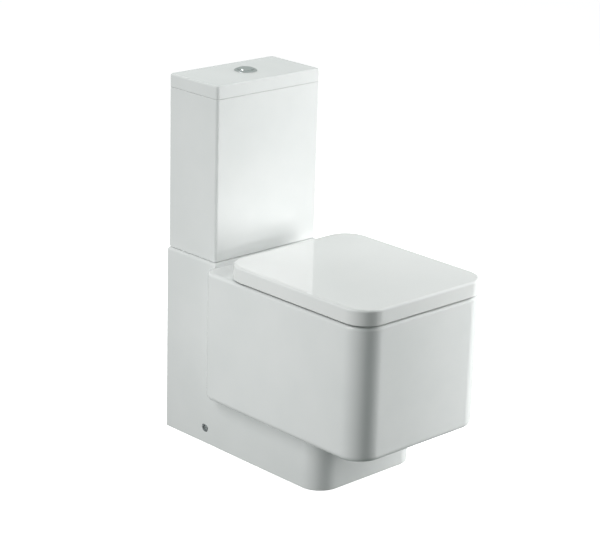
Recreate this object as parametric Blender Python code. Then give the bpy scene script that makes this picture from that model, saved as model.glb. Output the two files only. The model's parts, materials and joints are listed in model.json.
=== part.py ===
"""Close coupled toilet: pan, cistern, seat, and the fittings inside them.

Metres, +Z up. The floor is z = 0, the front faces -Y, and the origin lies under the middle of the
whole toilet. Left and right are as seen from the front. A size that ends in HALF is measured from
the middle plane, x = 0. Every solid keeps a small gap to its neighbours.
"""

import math

import bmesh
import bpy
from mathutils import Matrix, Vector

GAP = 0.0003

# Overall sizes.
DEPTH = 0.630
LID_TOP_Z = 0.790
FRONT_Y = -DEPTH / 2
BACK_Y = DEPTH / 2

# Pan.
RIM_Z = 0.404
DECK_Z = 0.4125
DECK_FRONT_Y = 0.157
SLAB_UNDER_Z = 0.390
WALL = 0.012
BLOCK_HALF = 0.1485
BLOCK_EDGE = 0.006
FOOT_FRONT_HALF = 0.1445
FOOT_FRONT_Y = -0.168
FOOT_CORNER = 0.050
BOWL_HALF = 0.1790
BOWL_FRONT_Y = FRONT_Y + 0.001
BOWL_BACK_Y = 0.162
BOWL_UNDER_Z = 0.120
BOWL_CORNER = 0.054
BOWL_BACK_CORNER = 0.029
BOWL_LOW_EDGE = 0.012
RIM_EDGE = 0.007

# Inside of the bowl: height, half width, front, back, corner radius.
BOWL_SECTIONS = (
    (0.410, 0.135, -0.268, 0.062, 0.085),
    (0.385, 0.135, -0.268, 0.062, 0.085),
    (0.330, 0.128, -0.256, 0.057, 0.085),
    (0.280, 0.107, -0.218, 0.048, 0.080),
    (0.235, 0.080, -0.160, 0.040, 0.066),
    (0.190, 0.058, -0.104, 0.034, 0.052),
    (0.145, 0.042, -0.064, 0.026, 0.038),
    (0.112, 0.028, -0.040, 0.018, 0.026),
)

# Trap: centre line in the middle plane as (y, z), and its radii.
TRAP_LINE = (
    (-0.008, 0.146),
    (0.020, 0.133),
    (0.052, 0.128),
    (0.084, 0.143),
    (0.108, 0.176),
    (0.133, 0.214),
    (0.163, 0.233),
    (0.194, 0.226),
    (0.219, 0.203),
    (0.245, 0.188),
    (0.272, 0.185),
)
TRAP_BORE = 0.026
TRAP_OUTER = 0.036
OUTLET_Z = 0.185
OUTLET_START_Y = 0.256
OUTLET_END_Y = 0.302
OUTLET_BORE = 0.045
OUTLET_OUTER = 0.051

# Flush water's way from the cistern to the bowl.
VALVE_Y = 0.2387
RECESS_FLOOR_Z = 0.389
RECESS_RADIUS = 0.050
DUCT_HALF = 0.033
DUCT_LOW_Z = 0.345
DUCT_HIGH_Z = 0.372
DUCT_START_Y = 0.040
DUCT_END_Y = 0.268
DUCT_WALL = 0.010

# Cistern and its lid.
CISTERN_HALF = 0.1442
CISTERN_FRONT_Y = 0.1624
CISTERN_LOW_Z = DECK_Z + 0.0005
CISTERN_TOP_Z = 0.7612
CISTERN_FLOOR_Z = 0.4230
CISTERN_WALL = 0.009
CISTERN_CORNER = 0.007
CISTERN_INNER_CORNER = 0.006
LID_LOW_Z = CISTERN_TOP_Z + GAP
LID_ROOF_Z = 0.780
LID_LIP_Z = 0.7555
LID_LIP_INSET = 0.0105
LID_WALL = 0.0165

# Push buttons on the lid, about a vertical axis at (0, VALVE_Y).
BEZEL_RADIUS = 0.0245
BUTTON_RADIUS = 0.0170
BUTTON_TOP_Z = 0.7962
BUTTON_LOW_Z = 0.7845
BUTTON_SPLIT_X = 0.003
BUTTON_SPLIT_GAP = 0.0008
HOUSING_RADIUS = 0.0190
HOUSING_LOW_Z = 0.752
HOUSING_FLOOR_Z = 0.755
FULL_ROD_X = -0.0075
HALF_ROD_X = 0.0097
ROD_RADIUS = 0.0025
ROD_LOW_Z = 0.7165

# Flush valve. Its washer and flange lie on the cistern's floor, as the fill valve's do.
WASHER_LOW_Z = CISTERN_FLOOR_Z + GAP
WASHER_HIGH_Z = WASHER_LOW_Z + 0.0026
FLANGE_LOW_Z = WASHER_HIGH_Z + GAP
VALVE_SEAT_Z = 0.4325
VALVE_TAIL_LOW_Z = 0.394
TOWER_LOW_Z = 0.520
TOWER_TOP_Z = 0.690
HEAD_TOP_Z = 0.7205

# Bolts and wing nuts, between cistern and pan and under the hinges.
COUPLING_X = 0.090
BOLT_RADIUS = 0.004
BOLT_LOW_Z = 0.345
WING_NUT_HEIGHT = 0.012
WING_NUT_HUB = 0.009

# Fill valve.
FILL_X = 0.106
FILL_Y = 0.278
SHANK_RADIUS = 0.010
SHANK_LOW_Z = 0.350
RISER_TOP_Z = 0.640
FILL_HEAD_TOP_Z = 0.672
FLOAT_LOW_Z = 0.500
FLOAT_TOP_Z = 0.575
LINK_X = FILL_X - 0.0210
ARM_PIVOT_X = FILL_X + 0.012
ARM_PIVOT_Z = 0.6905
ARM_DROP = 0.010  # the arm's free end hangs this far below its pivot at rest

# Seat and cover.
SEAT_LOW_Z = 0.4083
SEAT_TOP_Z = 0.4265
SEAT_HALF = 0.1722
COVER_HALF = 0.180
COVER_LOW_Z = 0.408
COVER_ROOF_Z = 0.4345
COVER_TOP_Z = 0.4405
COVER_BACK_Y = 0.097
COVER_CORNER = 0.054
COVER_SKIN = 0.005
SEAT_INSET = COVER_HALF - SEAT_HALF
SEAT_HOLE_HALF = 0.108
SEAT_HOLE_FRONT_Y = -0.238
SEAT_HOLE_BACK_Y = 0.040

# Seat hinge: its axis runs along X.
HINGE_Y = 0.112
HINGE_Z = 0.418
HINGE_X = 0.0775
HINGE_BARREL = 0.008
PIN_RADIUS = 0.003
POST_HALF = 0.011
COVER_LUG_X = (0.0545, 0.0645)
SEAT_LUG_X = (0.0905, 0.1005)
NOTCH_X = (0.0500, 0.1060)

# Fixing to the floor.
BRACKET_Y = 0.185
SIDE_HOLE_Z = 0.034
SIDE_HOLE_RADIUS = 0.0085

SIDES = (("left", -1), ("right", 1))


# Materials ---------------------------------------------------------------------------------------


def principled(name, color, roughness, metallic=0.0):
    made = bpy.data.materials.new(name)
    made.use_nodes = True
    shader = made.node_tree.nodes["Principled BSDF"]
    shader.inputs["Base Color"].default_value = (*color, 1.0)
    shader.inputs["Roughness"].default_value = roughness
    shader.inputs["Metallic"].default_value = metallic
    return made


def make_materials():
    return {
        "ceramic": principled("white_ceramic", (0.86, 0.87, 0.86), 0.06),
        "seat": principled("white_duroplast", (0.87, 0.88, 0.87), 0.12),
        "chrome": principled("chrome", (0.78, 0.79, 0.80), 0.08, 1.0),
        "white_plastic": principled("white_plastic", (0.76, 0.77, 0.75), 0.40),
        "grey_plastic": principled("grey_plastic", (0.33, 0.35, 0.36), 0.42),
        "rubber": principled("black_rubber", (0.03, 0.03, 0.03), 0.70),
        "clear_rubber": principled("clear_rubber", (0.62, 0.62, 0.58), 0.45),
        "brass": principled("brass", (0.72, 0.53, 0.24), 0.28, 1.0),
        "steel": principled("stainless_steel", (0.55, 0.56, 0.57), 0.32, 1.0),
    }


# Shapes: each function returns a bmesh in world coordinates -------------------------------------------


def outline(half, front, back, front_radius, back_radius, back_half=None, steps=5):
    """A rectangle in plan with rounded corners, anticlockwise from above."""
    rear = half if back_half is None else back_half
    corners = (
        (rear - back_radius, back - back_radius, back_radius),
        (back_radius - rear, back - back_radius, back_radius),
        (front_radius - half, front + front_radius, front_radius),
        (half - front_radius, front + front_radius, front_radius),
    )
    points = []
    for number, (x, y, radius) in enumerate(corners):
        for step in range(steps + 1):
            angle = math.pi / 2 * (number + step / steps)
            points.append((x + radius * math.cos(angle), y + radius * math.sin(angle)))
    return points


def loft(rings):
    """A solid through horizontal rings, lowest first. Each ring is (outline points, height)."""
    bm = bmesh.new()
    loops = [[bm.verts.new((x, y, z)) for x, y in points] for points, z in rings]
    for lower, upper in zip(loops, loops[1:]):
        for i in range(len(lower)):
            j = (i + 1) % len(lower)
            bm.faces.new((lower[i], lower[j], upper[j], upper[i]))
    bm.faces.new(reversed(loops[0]))
    bm.faces.new(loops[-1])
    return bm


def edge_rings(plan, low_z, high_z, low_edge=0.0, high_edge=0.0, steps=3):
    """Rings of a slab with rounded edges. plan(inset) gives its outline."""
    rings = [(plan(low_edge), low_z)]
    if low_edge:
        for step in range(1, steps + 1):
            angle = math.pi / 2 * step / steps
            inset = low_edge * (1 - math.sin(angle))
            rings.append((plan(inset), low_z + low_edge * (1 - math.cos(angle))))
    if high_edge:
        for step in range(steps):
            angle = math.pi / 2 * step / steps
            inset = high_edge * (1 - math.cos(angle))
            rings.append((plan(inset), high_z - high_edge * (1 - math.sin(angle))))
    rings.append((plan(high_edge), high_z))
    return rings


def turned(profile, center, segments=24, axis="Z"):
    """A turned solid. profile is a closed loop of (radius, place along the axis).

    Two neighbouring points of radius 0 stand for the axis itself: the loop is left open there, and
    a flat face closes each end.
    """
    on_axis = [i for i, (radius, _) in enumerate(profile) if radius == 0]
    if on_axis:
        after = next(i + 1 for i in on_axis if (i + 1) % len(profile) not in on_axis)
        profile = [profile[(after + i) % len(profile)] for i in range(len(profile) - len(on_axis))]
    bm = bmesh.new()
    verts = [bm.verts.new((radius, 0, along)) for radius, along in profile]
    edges = [bm.edges.new((a, b)) for a, b in zip(verts, verts[1:])]
    if not on_axis:
        edges.append(bm.edges.new((verts[-1], verts[0])))
    bmesh.ops.spin(
        bm,
        geom=verts + edges,
        cent=(0, 0, 0),
        axis=(0, 0, 1),
        angle=2 * math.pi,
        steps=segments,
        use_merge=True,
    )
    open_edges = [edge for edge in bm.edges if edge.is_boundary]
    bmesh.ops.holes_fill(bm, edges=open_edges, sides=0)
    turn = {
        "X": Matrix.Rotation(math.pi / 2, 4, "Y"),
        "Y": Matrix.Rotation(-math.pi / 2, 4, "X"),
        "Z": Matrix.Identity(4),
    }[axis]
    return settled(bm, Matrix.Translation(center) @ turn)


def settled(bm, matrix=None):
    """The bmesh moved by a matrix, with its faces turned outwards."""
    if matrix is not None:
        bmesh.ops.transform(bm, matrix=matrix, verts=bm.verts)
    bmesh.ops.recalc_face_normals(bm, faces=bm.faces)
    return bm


def disc(radius, low, high, center=(0, 0, 0), segments=24, axis="Z"):
    """A solid cylinder from low to high along its axis, counted from the center point."""
    profile = ((0, low), (radius, low), (radius, high), (0, high))
    return turned(profile, center, segments, axis)


def bore(radius, low, high, center=(0, 0, 0), segments=24, axis="Z"):
    """The solid that cuts a hole. Its flat sides, not its corners, lie at the radius."""
    return disc(radius / math.cos(math.pi / segments), low, high, center, segments, axis)


def tube(inner, outer, low, high, center=(0, 0, 0), segments=24, axis="Z"):
    corner = inner / math.cos(math.pi / segments)
    profile = ((corner, low), (outer, low), (outer, high), (corner, high))
    return turned(profile, center, segments, axis)


def block(low, high, bevel=0.0, segments=2):
    bm = bmesh.new()
    size = Vector(high) - Vector(low)
    middle = (Vector(high) + Vector(low)) / 2
    matrix = Matrix.Translation(middle) @ Matrix.Diagonal((*size, 1))
    bmesh.ops.create_cube(bm, size=1.0, matrix=matrix)
    if bevel:
        edges = list(bm.edges)
        bmesh.ops.bevel(bm, geom=edges, offset=bevel, segments=segments, profile=0.5, affect="EDGES")
    return settled(bm)


def slice_along_x(points, low_x, high_x):
    """A plate with an outline of (y, z) points, from low_x to high_x."""
    bm = bmesh.new()
    near = [bm.verts.new((low_x, y, z)) for y, z in points]
    face = bm.faces.new(near)
    made = bmesh.ops.extrude_face_region(bm, geom=[face])
    moved = [item for item in made["geom"] if isinstance(item, bmesh.types.BMVert)]
    bmesh.ops.translate(bm, vec=(high_x - low_x, 0, 0), verts=moved)
    return settled(bm)


def mirrored(span, sign):
    """Both ends of a span on the right, or of its mirror image on the left, lowest first."""
    return sorted((sign * span[0], sign * span[1]))


def arc(center, radius, start, end, steps=8):
    """Points on an arc from one angle in degrees to another."""
    angles = [math.radians(start + (end - start) * i / steps) for i in range(steps + 1)]
    return [(center[0] + radius * math.cos(a), center[1] + radius * math.sin(a)) for a in angles]


def smooth_line(points, steps=2):
    """A Catmull-Rom curve through 3-D points."""
    ends = [2 * points[0] - points[1], *points, 2 * points[-1] - points[-2]]
    line = []
    for a, b, c, d in zip(ends, ends[1:], ends[2:], ends[3:]):
        for step in range(steps):
            t = step / steps
            bend = (c - a) * t + (2 * a - 5 * b + 4 * c - d) * t**2
            line.append(b + 0.5 * (bend + (3 * b - a - 3 * c + d) * t**3))
    return [*line, points[-1]]


def pipe(points, radius, roundness):
    """A round bar along 3-D points."""
    curve = bpy.data.curves.new("pipe", "CURVE")
    curve.dimensions = "3D"
    curve.bevel_depth = radius
    curve.bevel_resolution = roundness
    curve.use_fill_caps = True
    spline = curve.splines.new("POLY")
    spline.points.add(len(points) - 1)
    for spot, point in zip(spline.points, points):
        spot.co = (*point, 1)
    holder = bpy.data.objects.new("pipe", curve)
    mesh = bpy.data.meshes.new_from_object(holder)
    bm = bmesh.new()
    bm.from_mesh(mesh)
    bpy.data.objects.remove(holder)
    bpy.data.curves.remove(curve)
    bpy.data.meshes.remove(mesh)
    bmesh.ops.remove_doubles(bm, verts=bm.verts, dist=1e-6)
    return settled(bm)


# Objects -------------------------------------------------------------------------------------------


def add_object(name, bm, finish, body=None):
    """A sub-part. A moving one is parented to its body's empty, and has its origin there."""
    origin = body.location if body else Vector((0, 0, 0))
    bmesh.ops.translate(bm, vec=-origin, verts=bm.verts)
    mesh = bpy.data.meshes.new(name)
    bm.to_mesh(mesh)
    bm.free()
    mesh.materials.append(finish)
    mesh.shade_smooth()
    mesh.set_sharp_from_angle(angle=math.radians(35))
    made = bpy.data.objects.new(name, mesh)
    bpy.context.scene.collection.objects.link(made)
    made.parent = body
    return made


def combine(target, bm, operation):
    """Adds a Boolean to the target, with its second solid as a hidden helper."""
    number = len(target.modifiers) + 1
    mesh = bpy.data.meshes.new(f"{target.name}_helper_{number}")
    bm.to_mesh(mesh)
    bm.free()
    helper = bpy.data.objects.new(mesh.name, mesh)
    bpy.context.scene.collection.objects.link(helper)
    helper.hide_render = True
    helper.display_type = "WIRE"
    step = target.modifiers.new(f"{operation.lower()}_{number}", "BOOLEAN")
    step.operation = operation
    step.object = helper
    step.solver = "EXACT"


def cut(target, bm):
    combine(target, bm, "DIFFERENCE")


def fuse(target, bm):
    combine(target, bm, "UNION")


def body_at(name, place):
    """The empty that a moving body's pieces hang on, at its joint."""
    made = bpy.data.objects.new(name, None)
    made.empty_display_size = 0.03
    made.location = place
    bpy.context.scene.collection.objects.link(made)
    return made


# Pan -------------------------------------------------------------------------------------------------
#
# One casting, made as four solids that stay GAP apart: the outside with its rim and deck, the basin,
# the trap and the flush way.


def foot_plan(inset, back=BACK_Y):
    return outline(
        FOOT_FRONT_HALF - inset,
        FOOT_FRONT_Y + inset,
        back,
        FOOT_CORNER - inset,
        0.004,
        back_half=BLOCK_HALF - inset,
    )


def bowl_plan(inset):
    return outline(
        BOWL_HALF - inset,
        BOWL_FRONT_Y + inset,
        BOWL_BACK_Y - inset,
        BOWL_CORNER - inset,
        BOWL_BACK_CORNER - inset,
    )


def deck_plan(inset):
    return outline(BLOCK_HALF - inset, DECK_FRONT_Y, BACK_Y - inset, 0.0015, 0.006)


def bowl_inside(grow=0.0):
    """The hollow of the bowl, or its outside where grow is the thickness of its wall."""
    rim_z = BOWL_SECTIONS[0][0]
    low_z = BOWL_SECTIONS[-1][0]
    rings = []
    for z, half, front, back, corner in reversed(BOWL_SECTIONS):
        depth = (rim_z - z) / (rim_z - low_z)
        points = outline(half + grow, front - grow, back + grow, corner + grow, corner * 0.8 + grow)
        rings.append((points, z - grow * depth))
    return loft(rings)


def trap_points():
    return smooth_line([Vector((0, y, z)) for y, z in TRAP_LINE])


def make_bowl(finish):
    """The basin, which hangs under the rim."""
    bowl = add_object("pan_bowl", bowl_inside(WALL), finish)
    top_z = SLAB_UNDER_Z - GAP
    cut(bowl, block((-0.200, -0.400, top_z), (0.200, 0.200, top_z + 0.050)))
    cut(bowl, bowl_inside())
    cut(bowl, pipe(trap_points(), TRAP_BORE, 4))
    cut(bowl, flush_duct())


def make_trap(finish):
    """The trap behind the basin, which widens into the outlet spigot, and the rib that carries it."""
    trap = add_object("pan_trap", pipe(trap_points(), TRAP_OUTER, 4), finish)
    rib_half = 0.006
    rib_top_z = DUCT_LOW_Z - DUCT_WALL - GAP
    fuse(trap, block((-rib_half, 0.140, 0.205), (rib_half, 0.262, rib_top_z)))
    profile = (
        (0, OUTLET_START_Y - 0.012),
        (TRAP_OUTER - 0.004, OUTLET_START_Y - 0.012),
        (OUTLET_OUTER, OUTLET_START_Y + 0.006),
        (OUTLET_OUTER, OUTLET_END_Y),
        (0, OUTLET_END_Y),
    )
    fuse(trap, turned(profile, (0, 0, OUTLET_Z), 32, "Y"))
    cut(trap, bowl_inside(WALL + GAP))
    cut(trap, pipe(trap_points(), TRAP_BORE, 4))
    profile = (
        (0, OUTLET_START_Y),
        (TRAP_BORE - 0.002, OUTLET_START_Y),
        (OUTLET_BORE, OUTLET_START_Y + 0.014),
        (OUTLET_BORE, OUTLET_END_Y + 0.010),
        (0, OUTLET_END_Y + 0.010),
    )
    cut(trap, turned(profile, (0, 0, OUTLET_Z), 32, "Y"))


def flush_duct():
    return block((-DUCT_HALF, DUCT_START_Y, DUCT_LOW_Z), (DUCT_HALF, DUCT_END_Y, DUCT_HIGH_Z))


def make_flush_way(finish):
    """The duct that takes the flush water from under the cistern to the basin."""
    low = (-DUCT_HALF - DUCT_WALL, DUCT_START_Y, DUCT_LOW_Z - DUCT_WALL)
    high = (DUCT_HALF + DUCT_WALL, DUCT_END_Y + DUCT_WALL, RECESS_FLOOR_Z)
    way = add_object("pan_flush_way", block(low, high), finish)
    center = (0, VALVE_Y, 0)
    floor_low_z = RECESS_FLOOR_Z - DUCT_WALL
    fuse(way, disc(RECESS_RADIUS + DUCT_WALL, floor_low_z, RECESS_FLOOR_Z, center, 32))
    cut(way, bowl_inside(WALL + GAP))
    cut(way, flush_duct())
    cut(way, bore(0.026, DUCT_LOW_Z + 0.010, RECESS_FLOOR_Z + 0.010, center, 32))


def cut_pan_holes(pan):
    above = DECK_Z + 0.010
    below = SLAB_UNDER_Z - 0.010
    for _, sign in SIDES:
        cut(pan, bore(0.006, below, above, (sign * COUPLING_X, VALVE_Y, 0), 16))
        cut(pan, bore(0.007, below, above, (sign * HINGE_X, HINGE_Y, 0), 16))
        low, high = mirrored((0.130, 0.160), sign)
        cut(pan, bore(SIDE_HOLE_RADIUS, low, high, (0, BRACKET_Y, SIDE_HOLE_Z), 20, "X"))
    cut(pan, bore(0.021, below, above, (FILL_X, FILL_Y, 0), 24))


def make_pan(finish):
    """Skirt, foot, rim and deck of the casting, open underneath and at the back."""
    pan = add_object("pan", loft([(foot_plan(0), 0), (foot_plan(0), RIM_Z - 0.006)]), finish)
    fuse(pan, loft(edge_rings(bowl_plan, BOWL_UNDER_Z, RIM_Z, BOWL_LOW_EDGE, RIM_EDGE)))
    fuse(pan, loft(edge_rings(deck_plan, 0.300, DECK_Z, 0, BLOCK_EDGE)))
    hollow_back = foot_plan(WALL, BACK_Y + 0.020)
    cut(pan, loft([(hollow_back, -0.010), (hollow_back, SLAB_UNDER_Z)]))
    hollow_front = bowl_plan(WALL + 0.0005)
    cut(pan, loft([(hollow_front, BOWL_UNDER_Z + WALL), (hollow_front, SLAB_UNDER_Z - 0.0002)]))
    cut(pan, bowl_inside())
    cut(pan, bore(RECESS_RADIUS, SLAB_UNDER_Z - 0.010, DECK_Z + 0.020, (0, VALVE_Y, 0), 32))
    cut_pan_holes(pan)


# Cistern -----------------------------------------------------------------------------------------------


def cistern_plan(inset, corner=None):
    corner = corner or CISTERN_CORNER - inset
    return outline(
        CISTERN_HALF - inset, CISTERN_FRONT_Y + inset, BACK_Y - inset, corner, corner, steps=4
    )


def make_cistern(finish):
    rings = edge_rings(cistern_plan, CISTERN_LOW_Z, CISTERN_TOP_Z, 0.006, 0.001)
    cistern = add_object("cistern", loft(rings), finish)
    inside = cistern_plan(CISTERN_WALL, CISTERN_INNER_CORNER)
    cut(cistern, loft([(inside, CISTERN_FLOOR_Z), (inside, CISTERN_TOP_Z + 0.020)]))
    low, high = CISTERN_LOW_Z - 0.010, CISTERN_FLOOR_Z + 0.010
    cut(cistern, bore(0.0308, low, high, (0, VALVE_Y, 0), 32))
    cut(cistern, bore(SHANK_RADIUS + 0.001, low, high, (FILL_X, FILL_Y, 0), 20))
    for _, sign in SIDES:
        cut(cistern, bore(0.005, low, high, (sign * COUPLING_X, VALVE_Y, 0), 16))


def make_lid(finish, body):
    """A tray upside down, with a lip that drops inside the cistern's rim."""
    rings = edge_rings(cistern_plan, LID_LOW_Z, LID_TOP_Z, 0.001, 0.004)
    lid = add_object("cistern_lid", loft(rings), finish, body)
    lip = cistern_plan(LID_LIP_INSET, CISTERN_INNER_CORNER)
    fuse(lid, loft([(lip, LID_LIP_Z), (lip, LID_ROOF_Z)]))
    hollow = cistern_plan(LID_WALL, 0.001)
    cut(lid, loft([(hollow, LID_LIP_Z - 0.010), (hollow, LID_ROOF_Z)]))
    hole_radius = HOUSING_RADIUS + 0.0006
    cut(lid, bore(hole_radius, LID_ROOF_Z - 0.010, LID_TOP_Z + 0.010, (0, VALVE_Y, 0), 32))


# Push buttons ------------------------------------------------------------------------------------------


def make_bezel(chrome, body):
    low, high = LID_TOP_Z + GAP, LID_TOP_Z + 0.0036
    inner = BUTTON_RADIUS + 0.0008
    profile = (
        (inner, low),
        (BEZEL_RADIUS, low),
        (BEZEL_RADIUS, low + 0.0008),
        (BEZEL_RADIUS - 0.0015, high - 0.0009),
        (BEZEL_RADIUS - 0.0034, high),
        (inner + 0.0006, high),
        (inner, high - 0.0006),
    )
    add_object("button_bezel", turned(profile, (0, VALVE_Y, 0), 36), chrome, body)


def make_housing(finish, body):
    """The threaded barrel under the bezel, and the nut that clamps the two to the lid."""
    top = LID_TOP_Z - 0.0002
    inner = BUTTON_RADIUS + 0.0006
    profile = (
        (0, HOUSING_LOW_Z),
        (HOUSING_RADIUS, HOUSING_LOW_Z),
        (HOUSING_RADIUS, top),
        (inner, top),
        (inner, HOUSING_FLOOR_Z),
        (0, HOUSING_FLOOR_Z),
    )
    center = (0, VALVE_Y, 0)
    housing = add_object("button_housing", turned(profile, center, 32), finish, body)
    for x in (FULL_ROD_X, HALF_ROD_X):
        center = (x, VALVE_Y, 0)
        cut(housing, bore(ROD_RADIUS + 0.0005, HOUSING_LOW_Z - 0.01, HOUSING_FLOOR_Z + 0.01, center, 16))
    center = (0, VALVE_Y, 0)
    nut = tube(HOUSING_RADIUS + GAP, 0.027, LID_ROOF_Z - 0.0095, LID_ROOF_Z - GAP, center, 12)
    add_object("button_nut", nut, finish, body)


def make_button(name, side, body, chrome, finish):
    """One half of the split push button, its rod, and the spring that returns it."""
    button = add_object(f"{name}_flush_button", button_blank(), chrome, body)
    split = BUTTON_SPLIT_X + side * BUTTON_SPLIT_GAP / 2
    low_x, high_x = sorted((split, split - side * 0.060))
    cut(button, block((low_x, VALVE_Y - 0.03, 0.77), (high_x, VALVE_Y + 0.03, 0.81)))
    rod_x = HALF_ROD_X if side > 0 else FULL_ROD_X
    rod = disc(ROD_RADIUS, ROD_LOW_Z, BUTTON_LOW_Z - GAP, (rod_x, VALVE_Y, 0), 16)
    add_object(f"{name}_flush_rod", rod, finish, body)


def button_blank():
    edge = 0.0012
    profile = (
        (0, BUTTON_LOW_Z),
        (BUTTON_RADIUS, BUTTON_LOW_Z),
        (BUTTON_RADIUS, BUTTON_TOP_Z - 2 * edge),
        (BUTTON_RADIUS - edge / 2, BUTTON_TOP_Z - edge),
        (BUTTON_RADIUS - 2 * edge, BUTTON_TOP_Z - edge / 3),
        (BUTTON_RADIUS / 2, BUTTON_TOP_Z),
        (0, BUTTON_TOP_Z),
    )
    return turned(profile, (0, VALVE_Y, 0), 40)


def make_spring(name, x, steel, body):
    """A return spring round its rod: a helix of wire."""
    turns, steps, wire, radius = 6, 8, 0.0006, 0.0049
    low, high = HOUSING_FLOOR_Z + wire + GAP, BUTTON_LOW_Z - wire - GAP
    line = []
    for step in range(turns * steps + 1):
        angle = 2 * math.pi * step / steps
        z = low + (high - low) * step / (turns * steps)
        line.append(Vector((x + radius * math.cos(angle), VALVE_Y + radius * math.sin(angle), z)))
    add_object(f"{name}_flush_spring", pipe(line, wire, 0), steel, body)


# Flush valve, about the vertical axis at (0, VALVE_Y) -----------------------------------------------------


def make_valve_body(finish):
    """Threaded tail, flange, seat lip, cage ribs and the tower above them."""
    center = (0, VALVE_Y, 0)
    profile = (
        (0.0250, VALVE_TAIL_LOW_Z),
        (0.0300, VALVE_TAIL_LOW_Z),
        (0.0300, FLANGE_LOW_Z),
        (0.0380, FLANGE_LOW_Z),
        (0.0380, FLANGE_LOW_Z + 0.004),
        (0.0275, FLANGE_LOW_Z + 0.004),
        (0.0260, VALVE_SEAT_Z),
        (0.0250, VALVE_SEAT_Z),
    )
    valve = add_object("flush_valve_body", turned(profile, center, 24), finish)
    for number in range(4):
        turn = Matrix.Rotation(math.radians(45 + 90 * number), 4, "Z")
        rib = block((0.0288, -0.004, FLANGE_LOW_Z + 0.002), (0.0345, 0.004, TOWER_LOW_Z + 0.010))
        fuse(valve, settled(rib, Matrix.Translation(center) @ turn))
    profile = (
        (0.0245, TOWER_LOW_Z),
        (0.0345, TOWER_LOW_Z),
        (0.0345, TOWER_LOW_Z + 0.008),
        (0.0285, TOWER_LOW_Z + 0.020),
        (0.0285, TOWER_TOP_Z),
        (0.0245, TOWER_TOP_Z),
    )
    fuse(valve, turned(profile, center, 24))
    window = block((-0.040, -0.006, 0.560), (0.040, 0.006, 0.655), 0.003)
    cut(valve, settled(window, Matrix.Translation(center) @ Matrix.Rotation(math.pi / 2, 4, "Z")))


def make_valve_head(finish):
    """The box on the tower that the two rods push into."""
    low = (-0.030, VALVE_Y - 0.0285, TOWER_TOP_Z + GAP)
    head = add_object("flush_valve_head", block(low, (0.030, VALVE_Y + 0.0285, HEAD_TOP_Z), 0.002), finish)
    cut(head, bore(0.0165, TOWER_TOP_Z - 0.010, 0.7015, (0, VALVE_Y, 0), 24))
    for x in (FULL_ROD_X, HALF_ROD_X):
        cut(head, bore(ROD_RADIUS + 0.0015, 0.7065, HEAD_TOP_Z + 0.010, (x, VALVE_Y, 0), 16))


def make_valve_lift(finish, rubber, body):
    """The overflow tube with its foot, and the seal under it that closes the valve."""
    center = (0, VALVE_Y, 0)
    seal_low = VALVE_SEAT_Z + GAP
    foot_low = seal_low + 0.003 + GAP
    profile = (
        (0.0100, foot_low),
        (0.0235, foot_low),
        (0.0235, foot_low + 0.004),
        (0.0130, foot_low + 0.010),
        (0.0130, 0.672),
        (0.0100, 0.672),
    )
    add_object("flush_valve_tube", turned(profile, center, 24), finish, body)
    seal = tube(0.0103, 0.0270, seal_low, seal_low + 0.003, center, 24)
    add_object("flush_valve_seal", seal, rubber, body)


def make_valve_fixings(finish, rubber, foam):
    """Washer inside the cistern, back nut under it, and the gasket on the pan."""
    center = (0, VALVE_Y, 0)
    washer = tube(0.0309, 0.0380, WASHER_LOW_Z, WASHER_HIGH_Z, center, 24)
    add_object("flush_valve_washer", washer, rubber)
    nut_low = CISTERN_LOW_Z - GAP - 0.0105
    nut = tube(0.0303, 0.0420, nut_low, CISTERN_LOW_Z - GAP, center, 12)
    add_object("flush_valve_nut", nut, finish)
    gasket = tube(0.0310, 0.0480, RECESS_FLOOR_Z + GAP, nut_low - GAP, center, 24)
    add_object("coupling_gasket", gasket, foam)


# Fasteners ---------------------------------------------------------------------------------------------


def add_wing_nut(name, center, high, finish):
    """A hub with a wing each way along Y, clear of its bolt."""
    x, y, _ = center
    low = high - WING_NUT_HEIGHT
    nut = add_object(name, tube(BOLT_RADIUS + GAP, WING_NUT_HUB, low, high, center, 16), finish)
    for sign in (-1, 1):
        near, far = mirrored((WING_NUT_HUB - 0.0025, 2 * WING_NUT_HUB), sign)
        wing_low = (x - 0.0015, y + near, low - 0.004)
        fuse(nut, block(wing_low, (x + 0.0015, y + far, high - 0.002), 0.001, 1))


def add_bolt(name, center, low, under_head, head_radius, head_height, finish):
    """A bolt with its head at the top."""
    profile = (
        (0, low),
        (BOLT_RADIUS - 0.0008, low),
        (BOLT_RADIUS, low + 0.001),
        (BOLT_RADIUS, under_head),
        (head_radius, under_head),
        (head_radius, under_head + head_height * 0.6),
        (head_radius * 0.75, under_head + head_height),
        (0, under_head + head_height),
    )
    add_object(name, turned(profile, center, 16), finish)


def make_couplings(brass, rubber):
    """The two bolts that pull the cistern down on the pan."""
    for side, sign in SIDES:
        center = (sign * COUPLING_X, VALVE_Y, 0)
        head_low = CISTERN_FLOOR_Z + 0.0036
        add_bolt(f"coupling_bolt_{side}", center, BOLT_LOW_Z, head_low, 0.0085, 0.005, brass)
        washer = tube(BOLT_RADIUS + GAP, 0.013, CISTERN_FLOOR_Z + GAP, head_low - GAP, center, 20)
        add_object(f"coupling_washer_{side}", washer, rubber)
        add_wing_nut(f"coupling_wing_nut_{side}", center, SLAB_UNDER_Z - GAP, brass)


# Fill valve, about the vertical axis at (FILL_X, FILL_Y) --------------------------------------------------


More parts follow.
